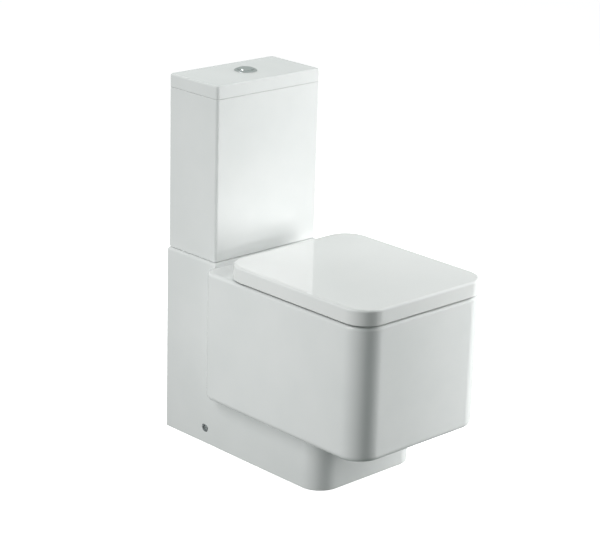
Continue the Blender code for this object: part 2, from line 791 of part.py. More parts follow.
def make_fill_body(finish):
    """Threaded shank, flange, riser, head, and the clevis that carries the arm."""
    center = (FILL_X, FILL_Y, 0)
    way = 0.005
    profile = (
        (way, SHANK_LOW_Z),
        (SHANK_RADIUS, SHANK_LOW_Z),
        (SHANK_RADIUS, FLANGE_LOW_Z),
        (0.0155, FLANGE_LOW_Z),
        (0.0155, FLANGE_LOW_Z + 0.003),
        (0.0110, FLANGE_LOW_Z + 0.003),
        (0.0110, RISER_TOP_Z),
        (0.0180, RISER_TOP_Z + 0.004),
        (0.0180, FILL_HEAD_TOP_Z),
        (0, FILL_HEAD_TOP_Z),
        (0, RISER_TOP_Z + 0.010),
        (way, RISER_TOP_Z + 0.010),
    )
    body = add_object("fill_valve_body", turned(profile, center, 24), finish)
    for sign in (-1, 1):
        near, far = mirrored((0.0055, 0.0085), sign)
        low = (ARM_PIVOT_X - 0.005, FILL_Y + near, FILL_HEAD_TOP_Z - 0.002)
        fuse(body, block(low, (ARM_PIVOT_X + 0.005, FILL_Y + far, ARM_PIVOT_Z + 0.005)))
    fuse(body, disc(0.002, -0.007, 0.007, (ARM_PIVOT_X, FILL_Y, ARM_PIVOT_Z), 12, "Y"))
    outlet = tube(0.004, 0.006, -0.030, -0.0165, (FILL_X, FILL_Y, 0.655), 16, "Y")
    fuse(body, outlet)


def make_fill_fixings(finish, rubber):
    center = (FILL_X, FILL_Y, 0)
    washer = tube(SHANK_RADIUS + GAP, 0.0155, WASHER_LOW_Z, WASHER_HIGH_Z, center, 24)
    add_object("fill_valve_washer", washer, rubber)
    nut_high = CISTERN_LOW_Z - GAP
    nut = tube(SHANK_RADIUS + GAP, 0.0165, nut_high - 0.012, nut_high, center, 6)
    add_object("fill_valve_nut", nut, finish)


def make_float(finish, steel, body):
    """The cup float that slides on the riser, and the rod it lifts the arm with."""
    center = (FILL_X, FILL_Y, 0)
    profile = (
        (0.0125, FLOAT_LOW_Z + 0.050),
        (0.0125, FLOAT_LOW_Z),
        (0.0145, FLOAT_LOW_Z),
        (0.0145, FLOAT_TOP_Z - 0.004),
        (0.0222, FLOAT_TOP_Z - 0.004),
        (0.0222, FLOAT_LOW_Z),
        (0.0240, FLOAT_LOW_Z),
        (0.0240, FLOAT_TOP_Z),
        (0.0125, FLOAT_TOP_Z),
    )
    add_object("fill_valve_float", turned(profile, center, 24), finish, body)
    arm_z = ARM_PIVOT_Z - ARM_DROP
    collar, rod, space = 0.0038, 0.0018, 0.0044
    profile = (
        (0, FLOAT_TOP_Z + GAP),
        (collar, FLOAT_TOP_Z + GAP),
        (collar, FLOAT_TOP_Z + 0.003),
        (rod, FLOAT_TOP_Z + 0.003),
        (rod, arm_z - space - 0.002),
        (collar, arm_z - space - 0.002),
        (collar, arm_z - space),
        (rod, arm_z - space),
        (rod, arm_z + space),
        (collar, arm_z + space),
        (collar, arm_z + space + 0.002),
        (0, arm_z + space + 0.002),
    )
    add_object("fill_valve_link", turned(profile, (LINK_X, FILL_Y, 0), 12), steel, body)


def make_float_arm(finish, body):
    """The arm from the clevis to the link, forked at its free end."""
    reach = ARM_PIVOT_X - LINK_X
    half_wide, half_thick = 0.0048, 0.0018
    low = (-reach - 0.004, -half_wide, -half_thick)
    arm = block(low, (0.004, half_wide, half_thick))
    tilt = math.asin(ARM_DROP / reach)
    place = Matrix.Translation((ARM_PIVOT_X, FILL_Y, ARM_PIVOT_Z)) @ Matrix.Rotation(-tilt, 4, "Y")
    made = add_object("fill_valve_arm", settled(arm, place), finish, body)
    pivot = (ARM_PIVOT_X, FILL_Y, ARM_PIVOT_Z)
    fuse(made, disc(0.0046, -half_wide + 0.0002, half_wide - 0.0002, pivot, 16, "Y"))
    cut(made, bore(0.0026, -0.02, 0.02, pivot, 12, "Y"))
    slot = block((-reach - 0.010, -0.0024, -0.010), (-reach + 0.0045, 0.0024, 0.010))
    cut(made, settled(slot, place))


# Seat and cover ------------------------------------------------------------------------------------------


def cover_plan(inset):
    corner = max(COVER_CORNER - inset, 0.002)
    return outline(COVER_HALF - inset, FRONT_Y + inset, COVER_BACK_Y - inset, corner, corner)


def seat_plan(inset):
    return cover_plan(SEAT_INSET + inset)


def seat_hole_plan(inset):
    return outline(
        SEAT_HOLE_HALF - inset,
        SEAT_HOLE_FRONT_Y + inset,
        SEAT_HOLE_BACK_Y - inset,
        0.085 - inset,
        0.060 - inset,
    )


def hinge_bore(half_length=0.2):
    return bore(PIN_RADIUS + GAP, -half_length, half_length, (0, HINGE_Y, HINGE_Z), 16, "X")


def make_seat(finish, body):
    """The ring, with a lug at each hinge."""
    rings = edge_rings(seat_plan, SEAT_LOW_Z, SEAT_TOP_Z, 0.003, 0.005)
    seat = add_object("seat_ring", loft(rings), finish, body)
    hole = [
        (seat_hole_plan(-0.003), SEAT_LOW_Z - 0.010),
        (seat_hole_plan(0), SEAT_LOW_Z + 0.004),
        (seat_hole_plan(0), SEAT_TOP_Z - 0.005),
        (seat_hole_plan(-0.006), SEAT_TOP_Z + 0.0015),
    ]
    cut(seat, loft(hole))
    root_y = COVER_BACK_Y - SEAT_INSET - 0.010
    barrel = arc((HINGE_Y, HINGE_Z), HINGE_BARREL, 80, -90)
    lug = [(root_y, HINGE_Z + 0.006), *barrel, (root_y, HINGE_Z - 0.0074)]
    for _, sign in SIDES:
        fuse(seat, slice_along_x(lug, *mirrored(SEAT_LUG_X, sign)))
    cut(seat, hinge_bore())


def make_cover(finish, body):
    """The shell that wraps over the seat ring, notched at the back for the hinges."""
    rings = edge_rings(cover_plan, COVER_LOW_Z, COVER_TOP_Z, 0.001, 0.005)
    cover = add_object("seat_cover", loft(rings), finish, body)
    inside = cover_plan(COVER_SKIN)
    cut(cover, loft([(inside, COVER_LOW_Z - 0.010), (inside, COVER_ROOF_Z)]))
    barrel = arc((HINGE_Y, HINGE_Z), HINGE_BARREL, 70, -150)
    root_z = (COVER_ROOF_Z + COVER_TOP_Z) / 2 - 0.001
    lug = [(COVER_BACK_Y - 0.013, root_z), (COVER_BACK_Y - 0.0015, root_z), *barrel]
    for _, sign in SIDES:
        low_x, high_x = mirrored(NOTCH_X, sign)
        notch_low = (low_x, COVER_BACK_Y - COVER_SKIN - 0.003, COVER_LOW_Z - 0.010)
        cut(cover, block(notch_low, (high_x, COVER_BACK_Y + 0.010, COVER_ROOF_Z - 0.0002)))
        fuse(cover, slice_along_x(lug, *mirrored(COVER_LUG_X, sign)))
    cut(cover, hinge_bore())


def make_buffers(rubber, seat_body, cover_body):
    """Four feet under the ring, and four small pads between the ring and the cover."""
    for place, y in (("front", -0.195), ("rear", 0.028)):
        for side, sign in SIDES:
            x = sign * 0.152
            foot_low = (x - 0.006, y - 0.015, RIM_Z + GAP)
            foot = block(foot_low, (x + 0.006, y + 0.015, SEAT_LOW_Z - GAP), 0.001, 1)
            add_object(f"seat_buffer_{place}_{side}", foot, rubber, seat_body)
            center = (sign * 0.145, y - 0.030, 0)
            pad = disc(0.006, SEAT_TOP_Z + GAP, COVER_ROOF_Z - GAP, center, 16)
            add_object(f"cover_buffer_{place}_{side}", pad, rubber, cover_body)


def make_hinges(chrome, steel, rubber, finish, seat_body):
    """Posts on the pan, the pins through them, and the studs and nuts that hold them."""
    for side, sign in SIDES:
        center = (sign * HINGE_X, HINGE_Y, 0)
        foot = disc(0.0115, RIM_Z + GAP, 0.4125, center, 24)
        post = add_object(f"hinge_post_{side}", foot, chrome)
        axis_point = (sign * HINGE_X, HINGE_Y, HINGE_Z)
        fuse(post, disc(POST_HALF - 0.0005, -POST_HALF, POST_HALF, axis_point, 24, "X"))
        cut(post, hinge_bore())
        cut(post, bore(BOLT_RADIUS + GAP, RIM_Z - 0.010, 0.4118, center, 16))
        pin_low, pin_high = COVER_LUG_X[0] - 0.0005, SEAT_LUG_X[1] + 0.0005
        head = PIN_RADIUS + 0.0018
        profile = (
            (0, pin_low - 0.0015),
            (head, pin_low - 0.0015),
            (head, pin_low),
            (PIN_RADIUS, pin_low),
            (PIN_RADIUS, pin_high),
            (head, pin_high),
            (head, pin_high + 0.0015),
            (0, pin_high + 0.0015),
        )
        if sign < 0:
            profile = [(radius, -along) for radius, along in profile]
        pin = turned(profile, (0, HINGE_Y, HINGE_Z), 16, "X")
        add_object(f"hinge_pin_{side}", pin, steel, seat_body)
        stud = disc(BOLT_RADIUS, BOLT_LOW_Z, 0.4115, center, 16)
        add_object(f"hinge_bolt_{side}", stud, steel)
        washer_high = SLAB_UNDER_Z - GAP
        washer = tube(BOLT_RADIUS + GAP, 0.015, washer_high - 0.003, washer_high, center, 20)
        add_object(f"hinge_washer_{side}", washer, rubber)
        add_wing_nut(f"hinge_wing_nut_{side}", center, washer_high - 0.003 - GAP, finish)


# Fixing to the floor -------------------------------------------------------------------------------------


def make_floor_fixings(plastic, steel):
    """A bracket inside each side of the foot, held by a screw through a collar in the wall."""
    for side, sign in SIDES:
        inner_wall = BLOCK_HALF - WALL - 0.0018
        outer_wall = BLOCK_HALF - 0.0016
        upright = mirrored((inner_wall - 0.007, inner_wall), sign)
        low = (upright[0], BRACKET_Y - 0.020, 0)
        bracket = block(low, (upright[1], BRACKET_Y + 0.020, 0.058), 0.001, 1)
        made = add_object(f"floor_bracket_{side}", bracket, plastic)
        foot = mirrored((inner_wall - 0.045, inner_wall - 0.002), sign)
        foot_low = (foot[0], BRACKET_Y - 0.0195, 0)
        fuse(made, block(foot_low, (foot[1], BRACKET_Y + 0.0195, 0.007)))
        rib = mirrored((inner_wall - 0.026, inner_wall - 0.002), sign)
        for y in (BRACKET_Y - 0.018, BRACKET_Y + 0.014):
            fuse(made, block((rib[0], y, 0.002), (rib[1], y + 0.004, 0.024)))
        floor_hole = (sign * (inner_wall - 0.036), BRACKET_Y, 0)
        cut(made, bore(0.004, -0.01, 0.02, floor_hole, 16))
        cut(made, bore(0.0027, -0.02, 0.02, (sign * inner_wall, BRACKET_Y, SIDE_HOLE_Z), 16, "X"))
        collar_in = inner_wall + 0.0006
        profile = (
            (0.0029, collar_in),
            (SIDE_HOLE_RADIUS - GAP, collar_in),
            (SIDE_HOLE_RADIUS - GAP, outer_wall),
            (0.0064, outer_wall),
            (0.0064, outer_wall - 0.0045),
            (0.0029, outer_wall - 0.0045),
        )
        collar = turned([(r, sign * x) for r, x in profile], (0, BRACKET_Y, SIDE_HOLE_Z), 24, "X")
        add_object(f"screw_collar_{side}", collar, plastic)
        head_in = outer_wall - 0.0042
        profile = (
            (0, inner_wall - 0.020),
            (0.0024, inner_wall - 0.018),
            (0.0024, head_in),
            (0.0056, head_in),
            (0.0052, head_in + 0.0022),
            (0.0030, head_in + 0.0034),
            (0.0014, head_in + 0.0034),
            (0.0014, head_in + 0.0014),
            (0, head_in + 0.0014),
        )
        screw = turned([(r, sign * x) for r, x in profile], (0, BRACKET_Y, SIDE_HOLE_Z), 16, "X")
        add_object(f"side_screw_{side}", screw, steel)


# All of it -----------------------------------------------------------------------------------------------


def clear_scene():
    for old in list(bpy.data.objects):
        bpy.data.objects.remove(old, do_unlink=True)


def main():
    clear_scene()
    finish = make_materials()
    lid_body = body_at("lid_joint", (0, VALVE_Y, LID_LOW_Z))
    full_body = body_at("full_button_joint", (FULL_ROD_X, VALVE_Y, BUTTON_LOW_Z))
    half_body = body_at("half_button_joint", (HALF_ROD_X, VALVE_Y, BUTTON_LOW_Z))
    lift_body = body_at("valve_lift_joint", (0, VALVE_Y, VALVE_SEAT_Z))
    float_body = body_at("float_joint", (FILL_X, FILL_Y, FLOAT_LOW_Z))
    arm_body = body_at("float_arm_joint", (ARM_PIVOT_X, FILL_Y, ARM_PIVOT_Z))
    seat_body = body_at("seat_joint", (0, HINGE_Y, HINGE_Z))
    cover_body = body_at("cover_joint", (0, HINGE_Y, HINGE_Z))

    make_pan(finish["ceramic"])
    make_bowl(finish["ceramic"])
    make_trap(finish["ceramic"])
    make_flush_way(finish["ceramic"])
    make_cistern(finish["ceramic"])
    make_lid(finish["ceramic"], lid_body)

    make_bezel(finish["chrome"], lid_body)
    make_housing(finish["white_plastic"], lid_body)
    make_button("full", -1, full_body, finish["chrome"], finish["white_plastic"])
    make_button("half", 1, half_body, finish["chrome"], finish["white_plastic"])
    make_spring("full", FULL_ROD_X, finish["steel"], lid_body)
    make_spring("half", HALF_ROD_X, finish["steel"], lid_body)

    make_valve_body(finish["white_plastic"])
    make_valve_head(finish["grey_plastic"])
    make_valve_lift(finish["white_plastic"], finish["clear_rubber"], lift_body)
    make_valve_fixings(finish["grey_plastic"], finish["rubber"], finish["rubber"])
    make_couplings(finish["brass"], finish["rubber"])

    make_fill_body(finish["white_plastic"])
    make_fill_fixings(finish["grey_plastic"], finish["rubber"])
    make_float(finish["grey_plastic"], finish["steel"], float_body)
    make_float_arm(finish["grey_plastic"], arm_body)

    make_seat(finish["seat"], seat_body)
    make_cover(finish["seat"], cover_body)
    make_buffers(finish["clear_rubber"], seat_body, cover_body)
    make_hinges(
        finish["chrome"], finish["steel"], finish["rubber"], finish["grey_plastic"], seat_body
    )
    make_floor_fixings(finish["grey_plastic"], finish["steel"])


main()
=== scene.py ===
"""Looks of a close coupled toilet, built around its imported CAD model.

Metres, +Z up, in the CAD model's own frame: the floor is z = 0 and the front faces -Y. The glazed
and moulded shells are distance fields, below zero inside, turned into meshes with exact normals.
"""

import json
import math

import bmesh
import bpy
import numpy as np
from mathutils import Matrix, Vector

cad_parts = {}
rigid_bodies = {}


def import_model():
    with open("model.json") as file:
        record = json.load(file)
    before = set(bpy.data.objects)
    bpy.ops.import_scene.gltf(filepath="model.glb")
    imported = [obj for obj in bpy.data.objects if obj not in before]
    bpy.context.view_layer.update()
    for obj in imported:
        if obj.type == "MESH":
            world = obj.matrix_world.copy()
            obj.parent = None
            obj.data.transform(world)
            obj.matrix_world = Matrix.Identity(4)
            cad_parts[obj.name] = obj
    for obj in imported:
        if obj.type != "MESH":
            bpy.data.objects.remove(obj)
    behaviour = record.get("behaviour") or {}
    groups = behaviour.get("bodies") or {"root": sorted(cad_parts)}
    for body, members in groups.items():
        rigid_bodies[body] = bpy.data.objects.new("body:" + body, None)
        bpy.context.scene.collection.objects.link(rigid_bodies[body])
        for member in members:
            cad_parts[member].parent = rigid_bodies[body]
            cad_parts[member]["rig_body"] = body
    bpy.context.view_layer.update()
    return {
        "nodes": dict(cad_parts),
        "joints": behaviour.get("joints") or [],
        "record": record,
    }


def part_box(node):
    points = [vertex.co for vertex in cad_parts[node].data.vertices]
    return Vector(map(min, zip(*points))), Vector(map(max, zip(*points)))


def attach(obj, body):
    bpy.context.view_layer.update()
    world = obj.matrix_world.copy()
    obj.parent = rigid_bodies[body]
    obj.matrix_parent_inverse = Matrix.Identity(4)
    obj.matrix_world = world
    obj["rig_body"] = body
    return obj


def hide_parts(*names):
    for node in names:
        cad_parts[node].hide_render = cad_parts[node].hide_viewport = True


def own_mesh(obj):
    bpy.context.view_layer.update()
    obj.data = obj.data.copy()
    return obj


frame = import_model()

# Places from the frame ----------------------------------------------------------------------------

MM = 0.001
PAN_LOW, PAN_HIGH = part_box("pan")
CISTERN_LOW, CISTERN_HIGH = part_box("cistern")
LID_LOW, LID_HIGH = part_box("cistern_lid")
COVER_LOW, COVER_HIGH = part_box("seat_cover")
RING_LOW, RING_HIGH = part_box("seat_ring")
BEZEL_LOW, BEZEL_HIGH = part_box("button_bezel")
BUTTON_LOW, BUTTON_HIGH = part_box("full_flush_button")
POST_LOW, POST_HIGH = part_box("hinge_post_right")
JOINTS = {joint["name"]: joint for joint in frame["joints"]}
HINGE_Y, HINGE_Z = JOINTS["seat_hinge"]["pos_m"][1:]
VALVE_Y = (BEZEL_LOW.y + BEZEL_HIGH.y) / 2
BACK_Y = PAN_HIGH.y

# Pan.
WALL = 12 * MM
DECK_Z = PAN_HIGH.z
RIM_Z = 0.404
DECK_FRONT_Y = 0.157
SLAB_UNDER_Z = 0.390
DECK_ROOT_Z = 0.300
BLOCK_HALF = 0.1485
FOOT_FRONT_HALF = 0.1445
FOOT_FRONT_Y = -0.168
FOOT_CORNER = 50 * MM
BOWL_HALF = PAN_HIGH.x
BOWL_FRONT_Y = PAN_LOW.y
BOWL_BACK_Y = 0.162
BOWL_UNDER_Z = 0.120
BOWL_CORNER = 54 * MM
BOWL_BACK_CORNER = 29 * MM

# Inside of the bowl: height, half width, front, back and corner radius.
BOWL_SECTIONS = (
    (0.420, 0.135, -0.268, 0.062, 0.085),
    (0.385, 0.135, -0.268, 0.062, 0.085),
    (0.330, 0.128, -0.256, 0.057, 0.085),
    (0.280, 0.107, -0.218, 0.048, 0.080),
    (0.235, 0.080, -0.160, 0.040, 0.066),
    (0.190, 0.058, -0.104, 0.034, 0.052),
    (0.145, 0.042, -0.064, 0.026, 0.038),
    (0.112, 0.028, -0.040, 0.018, 0.026),
)

# Trap's centre line in the middle plane, as (y, z).
TRAP_LINE = (
    (-0.008, 0.146),
    (0.020, 0.133),
    (0.052, 0.128),
    (0.084, 0.143),
    (0.108, 0.176),
    (0.133, 0.214),
    (0.163, 0.233),
    (0.194, 0.226),
    (0.219, 0.203),
    (0.245, 0.188),
    (0.272, 0.185),
)
TRAP_BORE = 26 * MM
TRAP_OUTER = 36 * MM
OUTLET_Z = 0.185
OUTLET_BORE = 45 * MM
OUTLET_OUTER = 51 * MM
OUTLET_START_Y = 0.256
OUTLET_END_Y = 0.302
RECESS_FLOOR_Z = 0.389
RECESS_RADIUS = 50 * MM
DUCT_HALF = 33 * MM
DUCT_FRONT_Y = 0.040
DUCT_WALL_FRONT_Y = 0.064
DUCT_BACK_Y = 0.268
DROP_BORE = 26 * MM
DUCT_LOW_Z = 0.345
DUCT_HIGH_Z = 0.372
COUPLING_X = 90 * MM
HINGE_X = (POST_LOW.x + POST_HIGH.x) / 2
FILL_X, FILL_Y = 0.106, 0.278
SIDE_HOLE_Y, SIDE_HOLE_Z = 0.185, 0.034
SIDE_HOLE_RADIUS = 8.5 * MM
SIDE_HOLE_START_X = 0.120

# Radii of the holes for bolts and valves, in the pan and then in the cistern's floor and the lid.
COUPLING_HOLE = 6 * MM
HINGE_HOLE = 7 * MM
FILL_HOLE = 21 * MM
CISTERN_BOLT_HOLE = 5 * MM
CISTERN_FILL_HOLE = 11 * MM
CISTERN_VALVE_HOLE = 30.8 * MM
LID_BUTTON_HOLE = 19.6 * MM

# Cistern, lid and seat.
CISTERN_WALL = 9 * MM
CISTERN_FLOOR_Z = 0.423
CISTERN_CORNER = 7 * MM
CISTERN_INNER_CORNER = 6 * MM
CISTERN_HOLES_TOP_Z = 0.44
LID_ROOF_Z = 0.780
LID_LIP_INSET = 10.5 * MM
LID_HOLLOW_INSET = 16.5 * MM
COVER_CORNER = 54 * MM
COVER_SKIN = 5 * MM
COVER_ROOF_Z = 0.4345
SEAT_HOLE = (0.108, -0.238, 0.040)
SEAT_HOLE_CORNERS = (85 * MM, 60 * MM)
COVER_BACK_Y = 0.097
BARREL_RADIUS = 8 * MM
COVER_LUG_X = (0.0545, 0.0645)
SEAT_LUG_X = (0.0905, 0.1005)
NOTCH_X = (0.0500, 0.1060)
SPLIT_X = 3 * MM
COVER_LUG_TOP_Z = 0.4365
PIN_BORE = 3.3 * MM

# Hinge posts.
POST_FOOT_RADIUS = 11.5 * MM
POST_FOOT_HEIGHT = 8 * MM
POST_BARREL_RADIUS = 10.5 * MM
POST_BARREL_HALF = 11 * MM
POST_BOLT_BORE = 4.3 * MM
POST_BOLT_TOP_Z = 0.4118

# Where openings that run out of the top or the back end, well beyond it.
ABOVE = 1.0
BEHIND = 0.40

# Small CAD pieces: what counts as flat, sharp and smooth between two faces, and the bevel's width.
FLAT_ANGLE = math.radians(0.6)
SHARP_ANGLE = math.radians(38)
SMOOTH_ANGLE = math.radians(40)
EDGE_BEVEL = 0.25 * MM

# Stage, light and camera. The camera's angles are azimuth, elevation and roll in degrees.
CAMERA_ANGLES = (-44.1, 18.6, 1.8)
CAMERA_TARGET = (0, 0, 0.395)
CAMERA_DISTANCE = 4.1643
CAMERA_LENS = 120.04
CAMERA_SHIFT = (-0.0305, 0.0035)
FLOOR_SIZE = 14
FLOOR_GLOW = 0.90

# Colour and strength of the room: as light, as a mirrored picture, and behind the object.
ROOM = ((0.80, 1.00, 0.94), 0.07)
MIRRORED_ROOM = ((0.90, 1.00, 0.96), 0.45)
BACKDROP = ((1, 1, 1), 1)

# Name, place, target, size, radiance, and whether glossy surfaces mirror it.
SOFTBOXES = (
    ("right_softbox", (1.93, -1.25, 1.12), (0, 0, 0.4), (1.2, 1.5), 8.2, False),
    ("right_card", (1.93, -1.25, 1.12), (0, 0, 0.4), (1.2, 1.5), 2.5, True),
    ("low_right_softbox", (1.40, -1.15, 0.34), (0, 0, 0.3), (0.8, 0.40), 18, False),
    ("top_softbox", (0.1, 0.1, 2.8), (0, 0, 0.4), (1.7, 1.7), 1.85, False),
    ("top_card", (0.1, 0.1, 2.8), (0, 0, 0.4), (1.7, 1.7), 1.1, True),
    ("left_softbox", (-1.70, 0.46, 1.88), (0, 0, 0.4), (1.2, 1.0), 4.6, True),
    ("low_left_softbox", (-1.30, 0.05, 0.26), (0, 0, 0.26), (0.8, 0.45), 6.2, False),
    ("rear_softbox", (0.3, 2.1, 1.6), (0, 0, 0.4), (1.8, 1.4), 2.6, False),
)


# Distance fields ----------------------------------------------------------------------------------


def rectangle(x, y, half, front, back, front_radius, back_radius=None):
    """A rectangle in plan with rounded corners."""
    middle, reach = (front + back) / 2, (back - front) / 2
    radius = front_radius
    if back_radius is not None:
        radius = np.where(y < middle, front_radius, back_radius)
    a = np.abs(x) - half + radius
    b = np.abs(y - middle) - reach + radius
    return np.hypot(np.maximum(a, 0), np.maximum(b, 0)) + np.minimum(np.maximum(a, b), 0) - radius


def slab(plan, z, low, high, low_edge, high_edge):
    """A plan shape made solid from low to high, with rounded edges."""
    middle = (low + high) / 2
    edge = np.where(z < middle, low_edge, high_edge)
    a = plan + edge
    b = np.abs(z - middle) - (high - low) / 2 + edge
    return np.hypot(np.maximum(a, 0), np.maximum(b, 0)) + np.minimum(np.maximum(a, b), 0) - edge


def cuboid(x, y, z, low, high, edge=1 * MM):
    """A box between two corners, with rounded edges."""
    spans = [np.abs(p - (a + b) / 2) - (b - a) / 2 + edge for p, a, b in zip((x, y, z), low, high)]
    outside = np.sqrt(sum(np.maximum(span, 0) ** 2 for span in spans))
    return outside + np.minimum(np.maximum(np.maximum(spans[0], spans[1]), spans[2]), 0) - edge


def round_bar(a, b, along, radius, low, high, edge=1 * MM):
    """A round bar: a and b lie across its axis, and along runs down it."""
    return slab(np.hypot(a, b) - radius, along, low, high, edge, edge)


def join(a, b, fillet):
    """Both shapes, with a fillet where they meet."""
    bridge = np.hypot(np.maximum(fillet - a, 0), np.maximum(fillet - b, 0))
    return np.maximum(fillet, np.minimum(a, b)) - bridge


def carve(a, b, edge):
    """The first shape without the second, with a rounded edge between them."""
    return -join(-a, b, edge)


def smooth_line(points, steps):
    """A Catmull-Rom curve through points of any number of values."""
    points = np.array(points)
    ends = np.vstack([2 * points[0] - points[1], points, 2 * points[-1] - points[-2]])
    line = []
    for a, b, c, d in zip(ends, ends[1:], ends[2:], ends[3:]):
        for step in range(steps):
            t = step / steps
            bend = (c - a) * t + (2 * a - 5 * b + 4 * c - d) * t**2
            line.append(b + 0.5 * (bend + (3 * b - a - 3 * c + d) * t**3))
    return np.array([*line, points[-1]])


def from_line(y, z, line):
    """Distance in the middle plane from a line of (y, z) points."""
    nearest = np.full(np.broadcast(y, z).shape, np.inf)
    for (y0, z0), (y1, z1) in zip(line, line[1:]):
        dy, dz = y1 - y0, z1 - z0
        t = np.clip(((y - y0) * dy + (z - z0) * dz) / (dy * dy + dz * dz), 0, 1)
        nearest = np.minimum(nearest, np.hypot(y - y0 - t * dy, z - z0 - t * dz))
    return nearest


# Meshes from distance fields ----------------------------------------------------------------------
#
# A shell is meshed on a grid whose steps are fine where an edge curves and coarse on the flats.


def grid_lines(*stops):
    """Grid lines from stops of (place, step up to the next place)."""
    lines = []
    for (start, step), (end, _) in zip(stops, stops[1:]):
        count = max(1, round((end - start) / step))
        lines.extend(start + (end - start) * i / count for i in range(count))
    return np.array([*lines, stops[-1][0]])


def both_sides(*stops):
    """Grid lines for a span about the middle plane, from its stops on the right."""
    right = grid_lines(*stops)
    return np.concatenate([-right[:0:-1], right])


def surface_net(shape, lines):
    """Points and quads of the field's zero surface: one point in each cell that it crosses."""
    field = shape(lines[0][:, None, None], lines[1][None, :, None], lines[2][None, None, :])
    inside = field < 0
    size = np.array(field.shape)
    stride = np.array([size[1] * size[2], size[2], 1])
    ends, marks, quads = [], [], []
    for axis in range(3):
        near = tuple(slice(0, -1) if i == axis else slice(None) for i in range(3))
        far = tuple(slice(1, None) if i == axis else slice(None) for i in range(3))
        index = np.argwhere(inside[near] != inside[far])
        a, b = field[near][tuple(index.T)], field[far][tuple(index.T)]
        point = np.stack([lines[i][index[:, i]] for i in range(3)], axis=1)
        start = lines[axis][index[:, axis]]
        point[:, axis] = start + a / (a - b) * (lines[axis][index[:, axis] + 1] - start)
        u, v = stride[(axis + 1) % 3], stride[(axis + 2) % 3]
        node = index @ stride
        around = np.stack([node - u - v, node - v, node, node - u], axis=1)
        quads.append(np.where((a < 0)[:, None], around, around[:, ::-1]))
        marks.append(around.reshape(-1))
        ends.append(np.repeat(point, 4, axis=0))
    cells, place = np.unique(np.concatenate(marks), return_inverse=True)
    ends = np.concatenate(ends)
    count = np.bincount(place)
    points = np.stack([np.bincount(place, ends[:, i]) / count for i in range(3)], axis=1)
    return points, np.searchsorted(cells, np.concatenate(quads))


def slope_of(shape, points, reach):
    """The field's slope at each point, by central differences."""
    parts = []
    for axis in range(3):
        shift = np.zeros(3)
        shift[axis] = reach
        ahead, behind = (points + shift).T, (points - shift).T
        parts.append((shape(*ahead) - shape(*behind)) / (2 * reach))
    return np.stack(parts, axis=1)


def shell_mesh(name, shape, lines, second=None):
    """A mesh of the field's surface. Faces where second is below zero take the second material."""
    points, quads = surface_net(shape, lines)
    # Newton's steps bring the points onto the surface itself.
    for _ in range(4):
        slope = slope_of(shape, points, 0.1 * MM)
        step = shape(*points.T) / np.maximum((slope**2).sum(axis=1), 0.2)
        points -= slope * np.clip(step, -MM, MM)[:, None]
    normals = slope_of(shape, points, 0.25 * MM)
    normals /= np.maximum(np.linalg.norm(normals, axis=1), 1e-9)[:, None]
    mesh = bpy.data.meshes.new(name)
    mesh.from_pydata(points.tolist(), [], quads.tolist())
    mesh.shade_smooth()
    mesh.normals_split_custom_set_from_vertices(normals.tolist())
    if second is not None:
        middles = points[quads].mean(axis=1)
        mesh.polygons.foreach_set("material_index", (second(*middles.T) < 0).astype(np.int32))
    made = bpy.data.objects.new(name, mesh)
    bpy.context.scene.collection.objects.link(made)
    return made


# Pan ----------------------------------------------------------------------------------------------

BOWL_TABLE = smooth_line(BOWL_SECTIONS, 4)[::-1]
TRAP_CURVE = smooth_line(TRAP_LINE, 4)


def bowl_inside(x, y, z, grow=0.0):
    """The hollow of the bowl, or its outside where grow is the thickness of its wall."""
    heights = BOWL_TABLE[:, 0]
    half, front, back, corner = (np.interp(z, heights, BOWL_TABLE[:, i]) for i in range(1, 5))
    plan = rectangle(x, y, half, front, back, corner, 0.8 * corner) - grow
    return slab(plan, z, BOWL_TABLE[0, 0] - grow, 0.60, 14 * MM + grow, 0)


def foot_plan(x, y, inset):
    """The foot, which widens a little towards the back."""
    along = (y - FOOT_FRONT_Y) / (BACK_Y - FOOT_FRONT_Y)
    half = FOOT_FRONT_HALF + (BLOCK_HALF - FOOT_FRONT_HALF) * along
    front, back = FOOT_FRONT_Y + inset, BACK_Y + (0 if inset == 0 else 40 * MM)
    widened = x * BLOCK_HALF / half
    return rectangle(widened, y, BLOCK_HALF - inset, front, back, FOOT_CORNER - inset, 5 * MM)


def bowl_plan(x, y, inset):
    """The outline of the bowl, rounder at the front than at the back."""
    front, back = BOWL_FRONT_Y + inset, BOWL_BACK_Y - inset
    corners = (BOWL_CORNER - inset, BOWL_BACK_CORNER - inset)
    return rectangle(x, y, BOWL_HALF - inset, front, back, *corners)


def pan_hollow(x, y, z):
    """The space inside the skirt and the foot, open underneath and at the back."""
    back = slab(foot_plan(x, y, WALL), z, -0.050, SLAB_UNDER_Z, 0, 6 * MM)
    front = slab(bowl_plan(x, y, WALL), z, BOWL_UNDER_Z + WALL, SLAB_UNDER_Z, 8 * MM, 6 * MM)
    return np.minimum(back, front)


def pan_outside(x, y, z):
    """Foot, bowl and the raised deck that the cistern stands on."""
    foot = foot_plan(x, y, 0)
    low_block = slab(foot, z, 0, SLAB_UNDER_Z, 1.5 * MM, 2 * MM)
    deck_plan = np.maximum(foot, DECK_FRONT_Y - y)
    block = np.minimum(low_block, slab(deck_plan, z, DECK_ROOT_Z, DECK_Z, 0, 6 * MM))
    bowl = slab(bowl_plan(x, y, 0), z, BOWL_UNDER_Z, RIM_Z, 12 * MM, 7 * MM)
    return join(block, bowl, 7 * MM)


